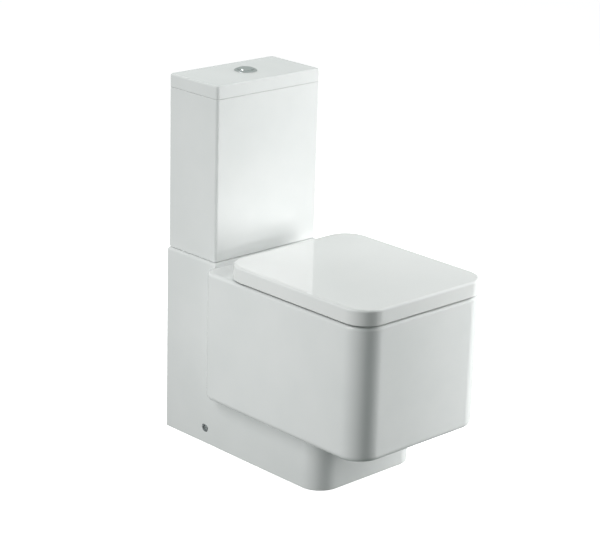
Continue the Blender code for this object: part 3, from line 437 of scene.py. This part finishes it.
def waste_way(x, y, z, grow):
    """Trap and outlet, or their outsides where grow is the thickness of their wall."""
    trap = np.hypot(x, from_line(y, z, TRAP_CURVE)) - TRAP_BORE - grow
    if grow:
        start = OUTLET_START_Y - 6 * MM
        outlet = round_bar(x, z - OUTLET_Z, y, OUTLET_OUTER, start, OUTLET_END_Y, 1.5 * MM)
        return join(trap, outlet, 12 * MM)
    outlet = round_bar(x, z - OUTLET_Z, y, OUTLET_BORE, OUTLET_START_Y + 6 * MM, BEHIND, 6 * MM)
    return np.minimum(trap, outlet)


def flush_way(x, y, z):
    """The duct from the cistern to the bowl, and the recess for the valve's nut and gasket."""
    low = (-DUCT_HALF, DUCT_FRONT_Y, DUCT_LOW_Z)
    duct = cuboid(x, y, z, low, (DUCT_HALF, DUCT_BACK_Y, DUCT_HIGH_Z), 5 * MM)
    drop = round_bar(x, y - VALVE_Y, z, DROP_BORE, DUCT_LOW_Z + 10 * MM, DECK_Z, 0)
    recess = round_bar(x, y - VALVE_Y, z, RECESS_RADIUS, RECESS_FLOOR_Z, 0.50, 2 * MM)
    return np.minimum(np.minimum(duct, drop), recess)


def flush_shells(x, y, z):
    """Walls of the flush way, and the rib that carries the trap."""
    wall = WALL - 2 * MM
    low = (-DUCT_HALF - wall, DUCT_WALL_FRONT_Y, DUCT_LOW_Z - wall)
    high = (DUCT_HALF + wall, DUCT_BACK_Y + wall, SLAB_UNDER_Z + 4 * MM)
    duct = cuboid(x, y, z, low, high, 4 * MM)
    cup_low, cup_high = RECESS_FLOOR_Z - wall, DECK_Z - 7 * MM
    cup = round_bar(x, y - VALVE_Y, z, RECESS_RADIUS + wall, cup_low, cup_high, 3 * MM)
    rib = cuboid(x, y, z, (-6 * MM, 0.140, 0.205), (6 * MM, 0.262, DUCT_LOW_Z), 1 * MM)
    return join(np.minimum(duct, cup), rib, 5 * MM)


def pan_holes(x, y, z):
    """Holes for the bolts, the fill valve and the two floor screws."""
    across = np.abs(x)
    coupling = np.hypot(across - COUPLING_X, y - VALVE_Y) - COUPLING_HOLE
    hinge = np.hypot(across - HINGE_X, y - HINGE_Y) - HINGE_HOLE
    fill = np.hypot(x - FILL_X, y - FILL_Y) - FILL_HOLE
    upright = np.maximum(np.minimum(np.minimum(coupling, hinge), fill), SLAB_UNDER_Z - 20 * MM - z)
    side = np.hypot(y - SIDE_HOLE_Y, z - SIDE_HOLE_Z) - SIDE_HOLE_RADIUS
    return np.minimum(upright, np.maximum(side, SIDE_HOLE_START_X - across))


def pan_shape(x, y, z):
    """The casting: skirt and foot, then what hangs inside, then every way through."""
    solid = carve(pan_outside(x, y, z), pan_hollow(x, y, z), 2 * MM)
    bowl_wall = slab(bowl_inside(x, y, z, WALL), z, -1.0, SLAB_UNDER_Z + 5 * MM, 0, 1 * MM)
    solid = join(solid, bowl_wall, 8 * MM)
    solid = join(solid, flush_shells(x, y, z), 5 * MM)
    solid = join(solid, waste_way(x, y, z, TRAP_OUTER - TRAP_BORE), 5 * MM)
    solid = carve(solid, bowl_inside(x, y, z), 5 * MM)
    solid = carve(solid, flush_way(x, y, z), 1.5 * MM)
    solid = carve(solid, waste_way(x, y, z, 0), 1.5 * MM)
    return carve(solid, pan_holes(x, y, z), 0.8 * MM)


def pan_unglazed(x, y, z):
    """The bare inside of the skirt and the ring that the foot stands on."""
    hollow = np.maximum(pan_hollow(x, y, z) - 1 * MM, y - BACK_Y + 3 * MM)
    bare = np.maximum(hollow, -waste_way(x, y, z, TRAP_OUTER - TRAP_BORE) + 3 * MM)
    inside = np.minimum(bowl_inside(x, y, z), flush_way(x, y, z)) - 2 * MM
    return np.minimum(np.maximum(bare, -inside), z - 1.2 * MM)


def make_pan(glaze, clay):
    """The whole casting in one piece, glazed outside and bare inside."""
    across = both_sides(
        (0, 4.6 * MM), (0.129, 2.3 * MM), (0.152, 3.6 * MM), (0.164, 2.1 * MM), (0.1832, 0)
    )
    along = grid_lines(
        (-0.3186, 2.2 * MM),
        (-0.297, 4 * MM),
        (-0.255, 5 * MM),
        (0.130, 2.3 * MM),
        (0.170, 5 * MM),
        (0.296, 2.2 * MM),
        (0.3187, 0),
    )
    up = grid_lines(
        (-0.0021, 1.3 * MM),
        (0.0031, 5.2 * MM),
        (0.111, 2.3 * MM),
        (0.139, 5.2 * MM),
        (0.381, 2 * MM),
        (0.3945, 1.45 * MM),
        (0.4151, 0),
    )
    pan = shell_mesh("pan_casting", pan_shape, (across, along, up), pan_unglazed)
    finish(pan, "ceramic", glaze, clay)
    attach(pan, "root")
    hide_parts("pan", "pan_bowl", "pan_trap", "pan_flush_way")


# Cistern and lid ----------------------------------------------------------------------------------


def cistern_plan(x, y, inset):
    """The outline that cistern and lid share, or one set in from it."""
    corner = CISTERN_CORNER if inset == 0 else CISTERN_INNER_CORNER
    front, back = CISTERN_LOW.y + inset, CISTERN_HIGH.y - inset
    return rectangle(x, y, CISTERN_HIGH.x - inset, front, back, corner)


def cistern_shape(x, y, z):
    """An open tank with holes in its floor for the bolts and the two valves."""
    outside = slab(cistern_plan(x, y, 0), z, CISTERN_LOW.z, CISTERN_HIGH.z, 2.5 * MM, 1.2 * MM)
    inside = slab(cistern_plan(x, y, CISTERN_WALL), z, CISTERN_FLOOR_Z, ABOVE, 6 * MM, 0)
    bolts = np.hypot(np.abs(x) - COUPLING_X, y - VALVE_Y) - CISTERN_BOLT_HOLE
    valve = np.hypot(x, y - VALVE_Y) - CISTERN_VALVE_HOLE
    fill = np.hypot(x - FILL_X, y - FILL_Y) - CISTERN_FILL_HOLE
    holes = np.maximum(np.minimum(bolts, np.minimum(valve, fill)), z - CISTERN_HOLES_TOP_Z)
    return carve(carve(outside, inside, 1.2 * MM), holes, 0.5 * MM)


def lid_shape(x, y, z):
    """A tray upside down, with a lip that drops inside the cistern's rim."""
    seam = CISTERN_HIGH.z + 0.3 * MM
    cap = slab(cistern_plan(x, y, 0), z, seam, LID_HIGH.z, 1.2 * MM, 4 * MM)
    lip = slab(cistern_plan(x, y, LID_LIP_INSET), z, LID_LOW.z, LID_ROOF_Z, 1.5 * MM, 0)
    hollow = slab(cistern_plan(x, y, LID_HOLLOW_INSET), z, 0.5, LID_ROOF_Z, 0, 4 * MM)
    solid = carve(np.minimum(cap, lip), hollow, 1.2 * MM)
    return carve(solid, np.hypot(x, y - VALVE_Y) - LID_BUTTON_HOLE, 0.6 * MM)


def corner_lines(low, high, fine, reach, coarse):
    """Grid lines along one axis of a box: fine near both ends, coarse between."""
    return (
        (low - 2 * fine, fine),
        (low + reach, coarse),
        (high - reach, fine),
        (high + 2.1 * fine, 0),
    )


def make_cistern(glaze):
    across = grid_lines(*corner_lines(CISTERN_LOW.x, CISTERN_HIGH.x, 1.3 * MM, 12 * MM, 6 * MM))
    along = grid_lines(*corner_lines(CISTERN_LOW.y, CISTERN_HIGH.y, 1.3 * MM, 12 * MM, 6 * MM))
    up = grid_lines(
        (CISTERN_LOW.z - 2 * MM, 1.3 * MM),
        (CISTERN_LOW.z + 20 * MM, 6 * MM),
        (CISTERN_HIGH.z - 4 * MM, 0.6 * MM),
        (CISTERN_HIGH.z + 1 * MM, 0),
    )
    tank = shell_mesh("cistern_casting", cistern_shape, (across, along, up))
    finish(tank, "ceramic", glaze)
    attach(tank, "root")
    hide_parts("cistern")


def make_lid(glaze):
    across = grid_lines(*corner_lines(CISTERN_LOW.x, CISTERN_HIGH.x, 1.1 * MM, 20 * MM, 3.1 * MM))
    along = grid_lines(*corner_lines(CISTERN_LOW.y, CISTERN_HIGH.y, 1.1 * MM, 20 * MM, 3.1 * MM))
    up = grid_lines(
        (LID_LOW.z - 1.6 * MM, 1.2 * MM),
        (LID_LOW.z + 4 * MM, 0.6 * MM),
        (CISTERN_HIGH.z + 3 * MM, 2 * MM),
        (LID_ROOF_Z - 4 * MM, 1.1 * MM),
        (LID_HIGH.z + 2.3 * MM, 0),
    )
    lid = shell_mesh("cistern_lid_casting", lid_shape, (across, along, up))
    finish(lid, "ceramic", glaze)
    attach(lid, "lid")
    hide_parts("cistern_lid")


# Seat ring, cover and hinges ----------------------------------------------------------------------


def cover_plan(x, y, inset):
    """The outline of the cover, which the seat ring follows inside it."""
    front, back = COVER_LOW.y + inset, COVER_BACK_Y - inset
    return rectangle(x, y, COVER_HIGH.x - inset, front, back, COVER_CORNER - inset)


def lug_shape(x, y, z, span, root_y, low, high):
    """A hinge barrel on each side, on a web from root_y, between two distances from the middle."""
    middle, half = (span[0] + span[1]) / 2, (span[1] - span[0]) / 2
    side = np.abs(x) - middle
    barrel = round_bar(y - HINGE_Y, z - HINGE_Z, side, BARREL_RADIUS, -half, half, 0.8 * MM)
    web = cuboid(side, y, z, (-half, root_y, low), (half, HINGE_Y, high), 0.8 * MM)
    return np.minimum(barrel, web)


def pin_way(y, z):
    """The bore for the hinge pins, right across the object."""
    return np.hypot(y - HINGE_Y, z - HINGE_Z) - PIN_BORE


def cover_shape(x, y, z):
    """The shell that wraps over the seat ring, notched at the back for the hinges."""
    outside = slab(cover_plan(x, y, 0), z, COVER_LOW.z, COVER_HIGH.z, 1.2 * MM, 5 * MM)
    inside = slab(cover_plan(x, y, COVER_SKIN), z, 0.30, COVER_ROOF_Z, 0, 2.5 * MM)
    solid = carve(outside, inside, 1.2 * MM)
    side = np.abs(x) - (NOTCH_X[0] + NOTCH_X[1]) / 2
    half = (NOTCH_X[1] - NOTCH_X[0]) / 2
    notch_low = (-half, COVER_BACK_Y - COVER_SKIN - 3 * MM, 0.30)
    solid = carve(solid, cuboid(side, y, z, notch_low, (half, 0.2, COVER_ROOF_Z), 1 * MM), 0.8 * MM)
    root_y = COVER_BACK_Y - 12 * MM
    lug = lug_shape(x, y, z, COVER_LUG_X, root_y, HINGE_Z + 3 * MM, COVER_LUG_TOP_Z)
    # The web slopes from the roof down to the barrel.
    slope = (z - COVER_LUG_TOP_Z) * 0.86 + (y - COVER_BACK_Y + 2 * MM) * 0.55
    lug = np.maximum(lug, slope)
    return carve(join(solid, lug, 1.5 * MM), pin_way(y, z), 0.3 * MM)


def seat_shape(x, y, z):
    """The ring, crowned towards its hole, with a lug at each hinge."""
    inset = COVER_HIGH.x - RING_HIGH.x
    outside = slab(cover_plan(x, y, inset), z, RING_LOW.z, RING_HIGH.z, 3 * MM, 6 * MM)
    hole = rectangle(x, y, *SEAT_HOLE, *SEAT_HOLE_CORNERS)
    root_y = COVER_BACK_Y - inset - 9 * MM
    lug = lug_shape(x, y, z, SEAT_LUG_X, root_y, HINGE_Z - 7 * MM, HINGE_Z + 6 * MM)
    solid = carve(outside, slab(hole, z, 0.1, 0.8, 0, 0), 7 * MM)
    return carve(join(solid, lug, 1.5 * MM), pin_way(y, z), 0.3 * MM)


def post_shape(x, y, z):
    """A chrome hinge post: an upright foot with a barrel across it."""
    side = np.abs(x) - HINGE_X
    low, high = POST_LOW.z, POST_LOW.z + POST_FOOT_HEIGHT
    foot = round_bar(side, y - HINGE_Y, z, POST_FOOT_RADIUS, low, high, 0.8 * MM)
    ends = (-POST_BARREL_HALF, POST_BARREL_HALF)
    barrel = round_bar(y - HINGE_Y, z - HINGE_Z, side, POST_BARREL_RADIUS, *ends, 1.5 * MM)
    solid = join(foot, np.maximum(barrel, low - z), 1.5 * MM)
    bolt = np.maximum(np.hypot(side, y - HINGE_Y) - POST_BOLT_BORE, z - POST_BOLT_TOP_Z)
    return carve(carve(solid, pin_way(y, z), 0.3 * MM), bolt, 0.3 * MM)


def make_seat(plastic):
    along = grid_lines(
        (COVER_LOW.y - 2.2 * MM, 1.9 * MM),
        (COVER_LOW.y + 16 * MM, 4.2 * MM),
        (COVER_BACK_Y - 20 * MM, 1.3 * MM),
        (HINGE_Y + 12 * MM, 0),
    )
    across = both_sides(
        (0, 4.2 * MM), (0.049, 1.2 * MM), (0.107, 4.2 * MM), (0.162, 1.9 * MM), (0.1823, 0)
    )
    up = grid_lines((0.4065, 0.95 * MM), (0.4432, 0))
    cover = shell_mesh("cover_shell", cover_shape, (across, along, up))
    finish(cover, "seat_plastic", plastic)
    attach(cover, "cover")
    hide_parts("seat_cover")
    ring = shell_mesh("seat_ring_moulding", seat_shape, (across, along, up))
    finish(ring, "seat_plastic", plastic)
    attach(ring, "seat")
    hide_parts("seat_ring")


def make_posts(chrome):
    for side, sign in (("left", -1), ("right", 1)):
        low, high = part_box(f"hinge_post_{side}")
        lines = [
            grid_lines((low[i] - 1.1 * MM, 0.7 * MM), (high[i] + 1.15 * MM, 0)) for i in range(3)
        ]
        post = shell_mesh(f"hinge_post_{side}_fine", post_shape, lines)
        finish(post, "chrome", chrome)
        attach(post, "root")
        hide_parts(f"hinge_post_{side}")


# Push buttons -------------------------------------------------------------------------------------


def button_shape(side):
    """The field of one half of the split button: a dished disc with soft edges."""
    half_gap = 0.4 * MM
    radius = (BUTTON_HIGH.y - BUTTON_LOW.y) / 2

    def shape(x, y, z):
        out = np.hypot(x, y - VALVE_Y)
        crown = 0.7 * MM * (out / radius) ** 2
        disc = slab(out - radius, z + crown, BUTTON_LOW.z, BUTTON_HIGH.z, 0.4 * MM, 1.1 * MM)
        return -join(-disc, side * (x - SPLIT_X) - half_gap, 0.5 * MM)

    return shape


def make_buttons(chrome):
    for name, side in (("full", -1), ("half", 1)):
        low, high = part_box(f"{name}_flush_button")
        lines = [
            grid_lines((low[i] - 0.75 * MM, 0.5 * MM), (high[i] + 0.8 * MM, 0)) for i in range(3)
        ]
        button = shell_mesh(f"{name}_flush_button_fine", button_shape(side), lines)
        finish(button, "chrome", chrome)
        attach(button, f"{name}_button")
        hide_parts(f"{name}_flush_button")


def lathe(name, profile, center, segments=128):
    """A turned piece. profile is a closed loop of (radius, height)."""
    bm = bmesh.new()
    loop = [bm.verts.new((radius, 0, height)) for radius, height in profile]
    edges = [bm.edges.new(pair) for pair in zip(loop, loop[1:] + loop[:1])]
    turn = {"cent": (0, 0, 0), "axis": (0, 0, 1), "angle": 2 * math.pi, "steps": segments}
    bmesh.ops.spin(bm, geom=loop + edges, use_merge=True, **turn)
    bmesh.ops.translate(bm, vec=center, verts=bm.verts)
    bmesh.ops.recalc_face_normals(bm, faces=bm.faces)
    mesh = bpy.data.meshes.new(name)
    bm.to_mesh(mesh)
    bm.free()
    mesh.shade_smooth()
    made = bpy.data.objects.new(name, mesh)
    bpy.context.scene.collection.objects.link(made)
    return made


def quarter(center, radius, start, steps=5):
    """Points on a quarter circle, from an angle in degrees on."""
    angles = [math.radians(start + 90 * i / steps) for i in range(steps + 1)]
    return [(center[0] + radius * math.cos(a), center[1] + radius * math.sin(a)) for a in angles]


def make_bezel(chrome):
    """The ring round the buttons: a sloped collar with a rolled inner edge."""
    outer = (BEZEL_HIGH.x - BEZEL_LOW.x) / 2
    inner = (BUTTON_HIGH.y - BUTTON_LOW.y) / 2 + 0.8 * MM
    low, high = BEZEL_LOW.z, BEZEL_HIGH.z
    lip, roll = 0.5 * MM, 1.1 * MM
    profile = [
        (inner, low),
        (outer, low),
        *quarter((outer - lip, low + lip), lip, 0),
        (outer - 2.2 * MM, high - 0.6 * MM),
        *quarter((outer - 4.2 * MM, high - roll), roll, 60)[:3],
        *quarter((inner + roll, high - roll), roll, 90),
    ]
    bezel = lathe("button_bezel_ring", profile, (0, VALVE_Y, 0))
    finish(bezel, "chrome", chrome)
    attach(bezel, "lid")
    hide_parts("button_bezel")


# Small pieces -------------------------------------------------------------------------------------


def make_springs(steel):
    """The return springs: a helix of wire on each rod."""
    wire, radius, turns, steps = 0.6 * MM, 4.9 * MM, 6, 48
    for name in ("full", "half"):
        low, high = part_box(f"{name}_flush_spring")
        x = (low.x + high.x) / 2
        curve = bpy.data.curves.new(f"{name}_flush_spring_wire", "CURVE")
        curve.dimensions = "3D"
        curve.bevel_depth = wire
        curve.bevel_resolution = 4
        curve.use_fill_caps = True
        spline = curve.splines.new("POLY")
        spline.points.add(turns * steps)
        for step, spot in enumerate(spline.points):
            angle = 2 * math.pi * step / steps
            height = low.z + wire + (high.z - low.z - 2 * wire) * step / (turns * steps)
            spot.co = (x + radius * math.cos(angle), VALVE_Y + radius * math.sin(angle), height, 1)
        holder = bpy.data.objects.new("helix", curve)
        made = bpy.data.objects.new(curve.name, bpy.data.meshes.new_from_object(holder))
        bpy.data.objects.remove(holder)
        bpy.context.scene.collection.objects.link(made)
        made.data.shade_smooth()
        finish(made, "stainless_steel", steel)
        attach(made, "lid")
        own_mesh(made)
        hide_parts(f"{name}_flush_spring")


def soften(node, slot, material):
    """A copy of a small CAD piece, with its facets merged and its edges broken by a fine bevel."""
    source = frame["nodes"][node]
    bm = bmesh.new()
    bm.from_mesh(source.data)
    bmesh.ops.remove_doubles(bm, verts=bm.verts, dist=1e-6)
    bmesh.ops.dissolve_limit(bm, angle_limit=FLAT_ANGLE, verts=bm.verts, edges=bm.edges)
    bmesh.ops.recalc_face_normals(bm, faces=bm.faces)
    sharp = [edge for edge in bm.edges if edge.is_manifold and edge.calc_face_angle() > SHARP_ANGLE]
    round_over = {"offset": EDGE_BEVEL, "segments": 2, "profile": 0.5, "clamp_overlap": True}
    bmesh.ops.bevel(bm, geom=sharp, affect="EDGES", **round_over)
    mesh = bpy.data.meshes.new(f"{node}_fine")
    bm.to_mesh(mesh)
    bm.free()
    mesh.shade_smooth()
    mesh.set_sharp_from_angle(angle=SMOOTH_ANGLE)
    made = bpy.data.objects.new(mesh.name, mesh)
    bpy.context.scene.collection.objects.link(made)
    finish(made, slot, material)
    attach(made, source["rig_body"])
    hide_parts(node)


# Materials ----------------------------------------------------------------------------------------


def finish(piece, slot, *materials):
    """Gives a piece its materials. The slot argument, the record's slot that they stand for, is not
    used.
    """
    piece.data.materials.clear()
    for material in materials:
        piece.data.materials.append(material)


class Nodes:
    """A material's node tree, with helpers for the textures that it needs."""

    def __init__(self, name, roughness, metallic=0.0, ior=1.5):
        self.material = bpy.data.materials.new(name)
        self.material.use_nodes = True
        self.tree = self.material.node_tree
        self.shader = self.tree.nodes["Principled BSDF"]
        self.shader.inputs["Roughness"].default_value = roughness
        self.shader.inputs["Metallic"].default_value = metallic
        self.shader.inputs["IOR"].default_value = ior
        self.place = self.tree.nodes.new("ShaderNodeTexCoord").outputs["Object"]
        self.height = None

    def link(self, source, target):
        self.tree.links.new(source, target)

    def noise(self, scale, detail=2.0, stretch=None):
        """Noise with so many waves to a metre, drawn out along an axis by stretch."""
        place = self.place
        if stretch:
            mapping = self.tree.nodes.new("ShaderNodeMapping")
            mapping.inputs["Scale"].default_value = stretch
            self.link(place, mapping.inputs["Vector"])
            place = mapping.outputs["Vector"]
        made = self.tree.nodes.new("ShaderNodeTexNoise")
        made.inputs["Scale"].default_value = scale
        made.inputs["Detail"].default_value = detail
        self.link(place, made.inputs["Vector"])
        return made.outputs["Fac"]

    def ranged(self, value, low, high, start=0.3, end=0.7):
        """The value's middle part, from start to end, spread from low to high."""
        made = self.tree.nodes.new("ShaderNodeMapRange")
        for socket, number in zip(made.inputs[1:5], (start, end, low, high)):
            socket.default_value = number
        self.link(value, made.inputs["Value"])
        return made.outputs["Result"]

    def color(self, value, dark, light, start=0.3, end=0.7):
        """Base colour between two colours by a value."""
        made = self.tree.nodes.new("ShaderNodeValToRGB")
        first, last = made.color_ramp.elements
        first.position, last.position = start, end
        first.color, last.color = (*dark, 1), (*light, 1)
        self.link(value, made.inputs["Fac"])
        self.link(made.outputs["Color"], self.shader.inputs["Base Color"])

    def roughness(self, value, low, high):
        self.link(self.ranged(value, low, high), self.shader.inputs["Roughness"])

    def bump(self, value, depth):
        """Adds a bump of so many metres on top of the ones before."""
        made = self.tree.nodes.new("ShaderNodeBump")
        made.inputs["Strength"].default_value = 1.0
        made.inputs["Distance"].default_value = depth
        self.link(value, made.inputs["Height"])
        if self.height:
            self.link(self.height, made.inputs["Normal"])
        self.height = made.outputs["Normal"]
        self.link(self.height, self.shader.inputs["Normal"])


def glaze():
    """White glazed china: a slow waviness, a fine orange peel and slight pooling of the glaze."""
    made = Nodes("glazed_china", 0.06, ior=1.52)
    made.color(made.noise(9, 3), (0.795, 0.815, 0.807), (0.830, 0.845, 0.838))
    made.roughness(made.noise(22, 4), 0.045, 0.085)
    made.bump(made.noise(11, 1), 0.22 * MM)
    made.bump(made.noise(420, 2), 0.0016 * MM)
    return made.material


def clay():
    """Fired body without glaze: matt, warm and slightly grainy."""
    made = Nodes("bare_fired_clay", 0.75)
    made.color(made.noise(60, 5), (0.66, 0.63, 0.57), (0.76, 0.735, 0.68))
    made.roughness(made.noise(90, 3), 0.65, 0.85)
    made.bump(made.noise(900, 4), 0.05 * MM)
    return made.material


def duroplast():
    """Hard white moulded plastic with a deep gloss."""
    made = Nodes("white_thermoset", 0.05, ior=1.54)
    made.color(made.noise(7, 2), (0.825, 0.84, 0.83), (0.845, 0.855, 0.845))
    made.roughness(made.noise(30, 4), 0.04, 0.075)
    made.bump(made.noise(9, 1), 0.05 * MM)
    made.bump(made.noise(600, 2), 0.0008 * MM)
    return made.material


def chrome():
    made = Nodes("bright_chrome", 0.06, 1.0)
    made.color(made.noise(120, 3), (0.80, 0.81, 0.82), (0.88, 0.885, 0.89))
    made.roughness(made.noise(260, 4), 0.035, 0.10)
    made.bump(made.noise(90, 2), 0.004 * MM)
    return made.material


def moulded(name, dark, light, rough):
    """Moulded plastic with a fine spark-eroded grain."""
    made = Nodes(name, rough)
    made.color(made.noise(45, 3), dark, light)
    made.roughness(made.noise(160, 3), rough - 0.06, rough + 0.08)
    made.bump(made.noise(2600, 3), 0.012 * MM)
    return made.material


def rubber(name, dark, light, rough):
    made = Nodes(name, rough, ior=1.45)
    made.color(made.noise(140, 4), dark, light)
    made.roughness(made.noise(300, 3), rough - 0.08, rough + 0.08)
    made.bump(made.noise(1500, 4), 0.03 * MM)
    return made.material


def turned_metal(name, dark, light, rough):
    """Machined or drawn metal, with fine rings across its length."""
    made = Nodes(name, rough, 1.0)
    made.color(made.noise(80, 4), dark, light)
    rings = made.noise(60, 3, stretch=(1, 1, 45))
    made.roughness(rings, rough - 0.07, rough + 0.10)
    made.bump(rings, 0.012 * MM)
    return made.material


STEEL = ((0.46, 0.47, 0.48), (0.62, 0.63, 0.64), 0.28)

# Slot, kind, name of the material, dark and light colours, roughness.
PLAIN_FINISHES = (
    ("white_plastic", moulded, "white_polypropylene", (0.70, 0.71, 0.69), (0.78, 0.79, 0.77), 0.38),
    ("grey_plastic", moulded, "grey_acetal", (0.25, 0.27, 0.28), (0.34, 0.36, 0.37), 0.42),
    ("black_rubber", rubber, "black_rubber", (0.018, 0.018, 0.019), (0.040, 0.040, 0.041), 0.68),
    ("clear_rubber", rubber, "grey_silicone", (0.52, 0.53, 0.50), (0.62, 0.63, 0.60), 0.42),
    ("brass", turned_metal, "machined_brass", (0.52, 0.35, 0.13), (0.74, 0.55, 0.26), 0.26),
    ("stainless_steel", turned_metal, "stainless_steel", *STEEL),
)


def all_materials():
    """One material for each of the record's material slots."""
    return {
        "ceramic": glaze(),
        "seat_plastic": duroplast(),
        "chrome": chrome(),
        **{slot: make(*look) for slot, make, *look in PLAIN_FINISHES},
    }


# Stage, light and camera --------------------------------------------------------------------------


def make_floor():
    """A pale floor that glows a little. It lights no piece and is mirrored by none."""
    bm = bmesh.new()
    bmesh.ops.create_grid(bm, x_segments=8, y_segments=8, size=FLOOR_SIZE)
    mesh = bpy.data.meshes.new("floor")
    bm.to_mesh(mesh)
    bm.free()
    floor = bpy.data.objects.new("floor", mesh)
    bpy.context.scene.collection.objects.link(floor)
    floor.visible_diffuse = False
    floor.visible_glossy = False
    made = Nodes("pale_floor", 0.6)
    made.shader.inputs["Base Color"].default_value = (0.88, 0.88, 0.88, 1)
    made.shader.inputs["Specular IOR Level"].default_value = 0.1
    made.shader.inputs["Emission Color"].default_value = (1, 1, 1, 1)
    made.shader.inputs["Emission Strength"].default_value = FLOOR_GLOW
    mesh.materials.append(made.material)


def softbox(name, place, target, size, strength, mirrored):
    """A rectangular area light. Its strength is its radiance, whatever its size."""
    light = bpy.data.lights.new(name, "AREA")
    light.shape = "RECTANGLE"
    light.size, light.size_y = size
    light.energy = strength * size[0] * size[1] * math.pi
    made = bpy.data.objects.new(name, light)
    made.location = place
    made.visible_glossy = mirrored
    aim = Vector(target) - Vector(place)
    made.rotation_euler = aim.to_track_quat("-Z", "Y").to_euler()
    bpy.context.scene.collection.objects.link(made)


def make_lights():
    """The softboxes, and a room that is dimmer as a light than it looks to the camera."""
    for name, place, target, size, strength, mirrored in SOFTBOXES:
        softbox(name, place, target, size, strength, mirrored)
    world = bpy.data.worlds.new("studio")
    bpy.context.scene.world = world
    world.use_nodes = True
    tree = world.node_tree
    seen = tree.nodes.new("ShaderNodeLightPath")
    shade = None
    for (color, glow), rays in (
        (ROOM, None),
        (MIRRORED_ROOM, "Is Glossy Ray"),
        (BACKDROP, "Is Camera Ray"),
    ):
        made = tree.nodes.new("ShaderNodeBackground")
        made.inputs["Color"].default_value = (*color, 1)
        made.inputs["Strength"].default_value = glow
        if shade:
            mix = tree.nodes.new("ShaderNodeMixShader")
            tree.links.new(seen.outputs[rays], mix.inputs["Fac"])
            tree.links.new(shade.outputs[0], mix.inputs[1])
            tree.links.new(made.outputs[0], mix.inputs[2])
            made = mix
        shade = made
    tree.links.new(shade.outputs[0], tree.nodes["World Output"].inputs["Surface"])


def make_camera():
    """A camera that looks at its target from so far away, rolled about its own axis."""
    azimuth, elevation, roll = (math.radians(angle) for angle in CAMERA_ANGLES)
    back = Vector(
        (
            math.sin(azimuth) * math.cos(elevation),
            -math.cos(azimuth) * math.cos(elevation),
            math.sin(elevation),
        )
    )
    across = (-back).cross(Vector((0, 0, 1))).normalized()
    up = across.cross(-back)
    tilt = Matrix.Rotation(roll, 3, back)
    turn = Matrix((tilt @ across, tilt @ up, back)).transposed()
    camera = bpy.data.cameras.new("camera")
    camera.sensor_width = 36
    camera.lens = CAMERA_LENS
    camera.shift_x, camera.shift_y = CAMERA_SHIFT
    made = bpy.data.objects.new("camera", camera)
    place = Vector(CAMERA_TARGET) + back * CAMERA_DISTANCE
    made.matrix_world = Matrix.Translation(place) @ turn.to_4x4()
    bpy.context.scene.collection.objects.link(made)
    bpy.context.scene.camera = made


def main():
    scene = bpy.context.scene
    scene.view_settings.view_transform = "Standard"
    scene.view_settings.look = "None"
    make_camera()
    make_lights()
    make_floor()
    materials = all_materials()
    make_pan(materials["ceramic"], clay())
    make_cistern(materials["ceramic"])
    make_lid(materials["ceramic"])
    make_seat(materials["seat_plastic"])
    make_posts(materials["chrome"])
    make_buttons(materials["chrome"])
    make_bezel(materials["chrome"])
    make_springs(materials["stainless_steel"])
    for entry in frame["record"]["subparts"]:
        node = entry["node"]
        if not frame["nodes"][node].hide_render:
            soften(node, entry["material_slot"], materials[entry["material_slot"]])


main()
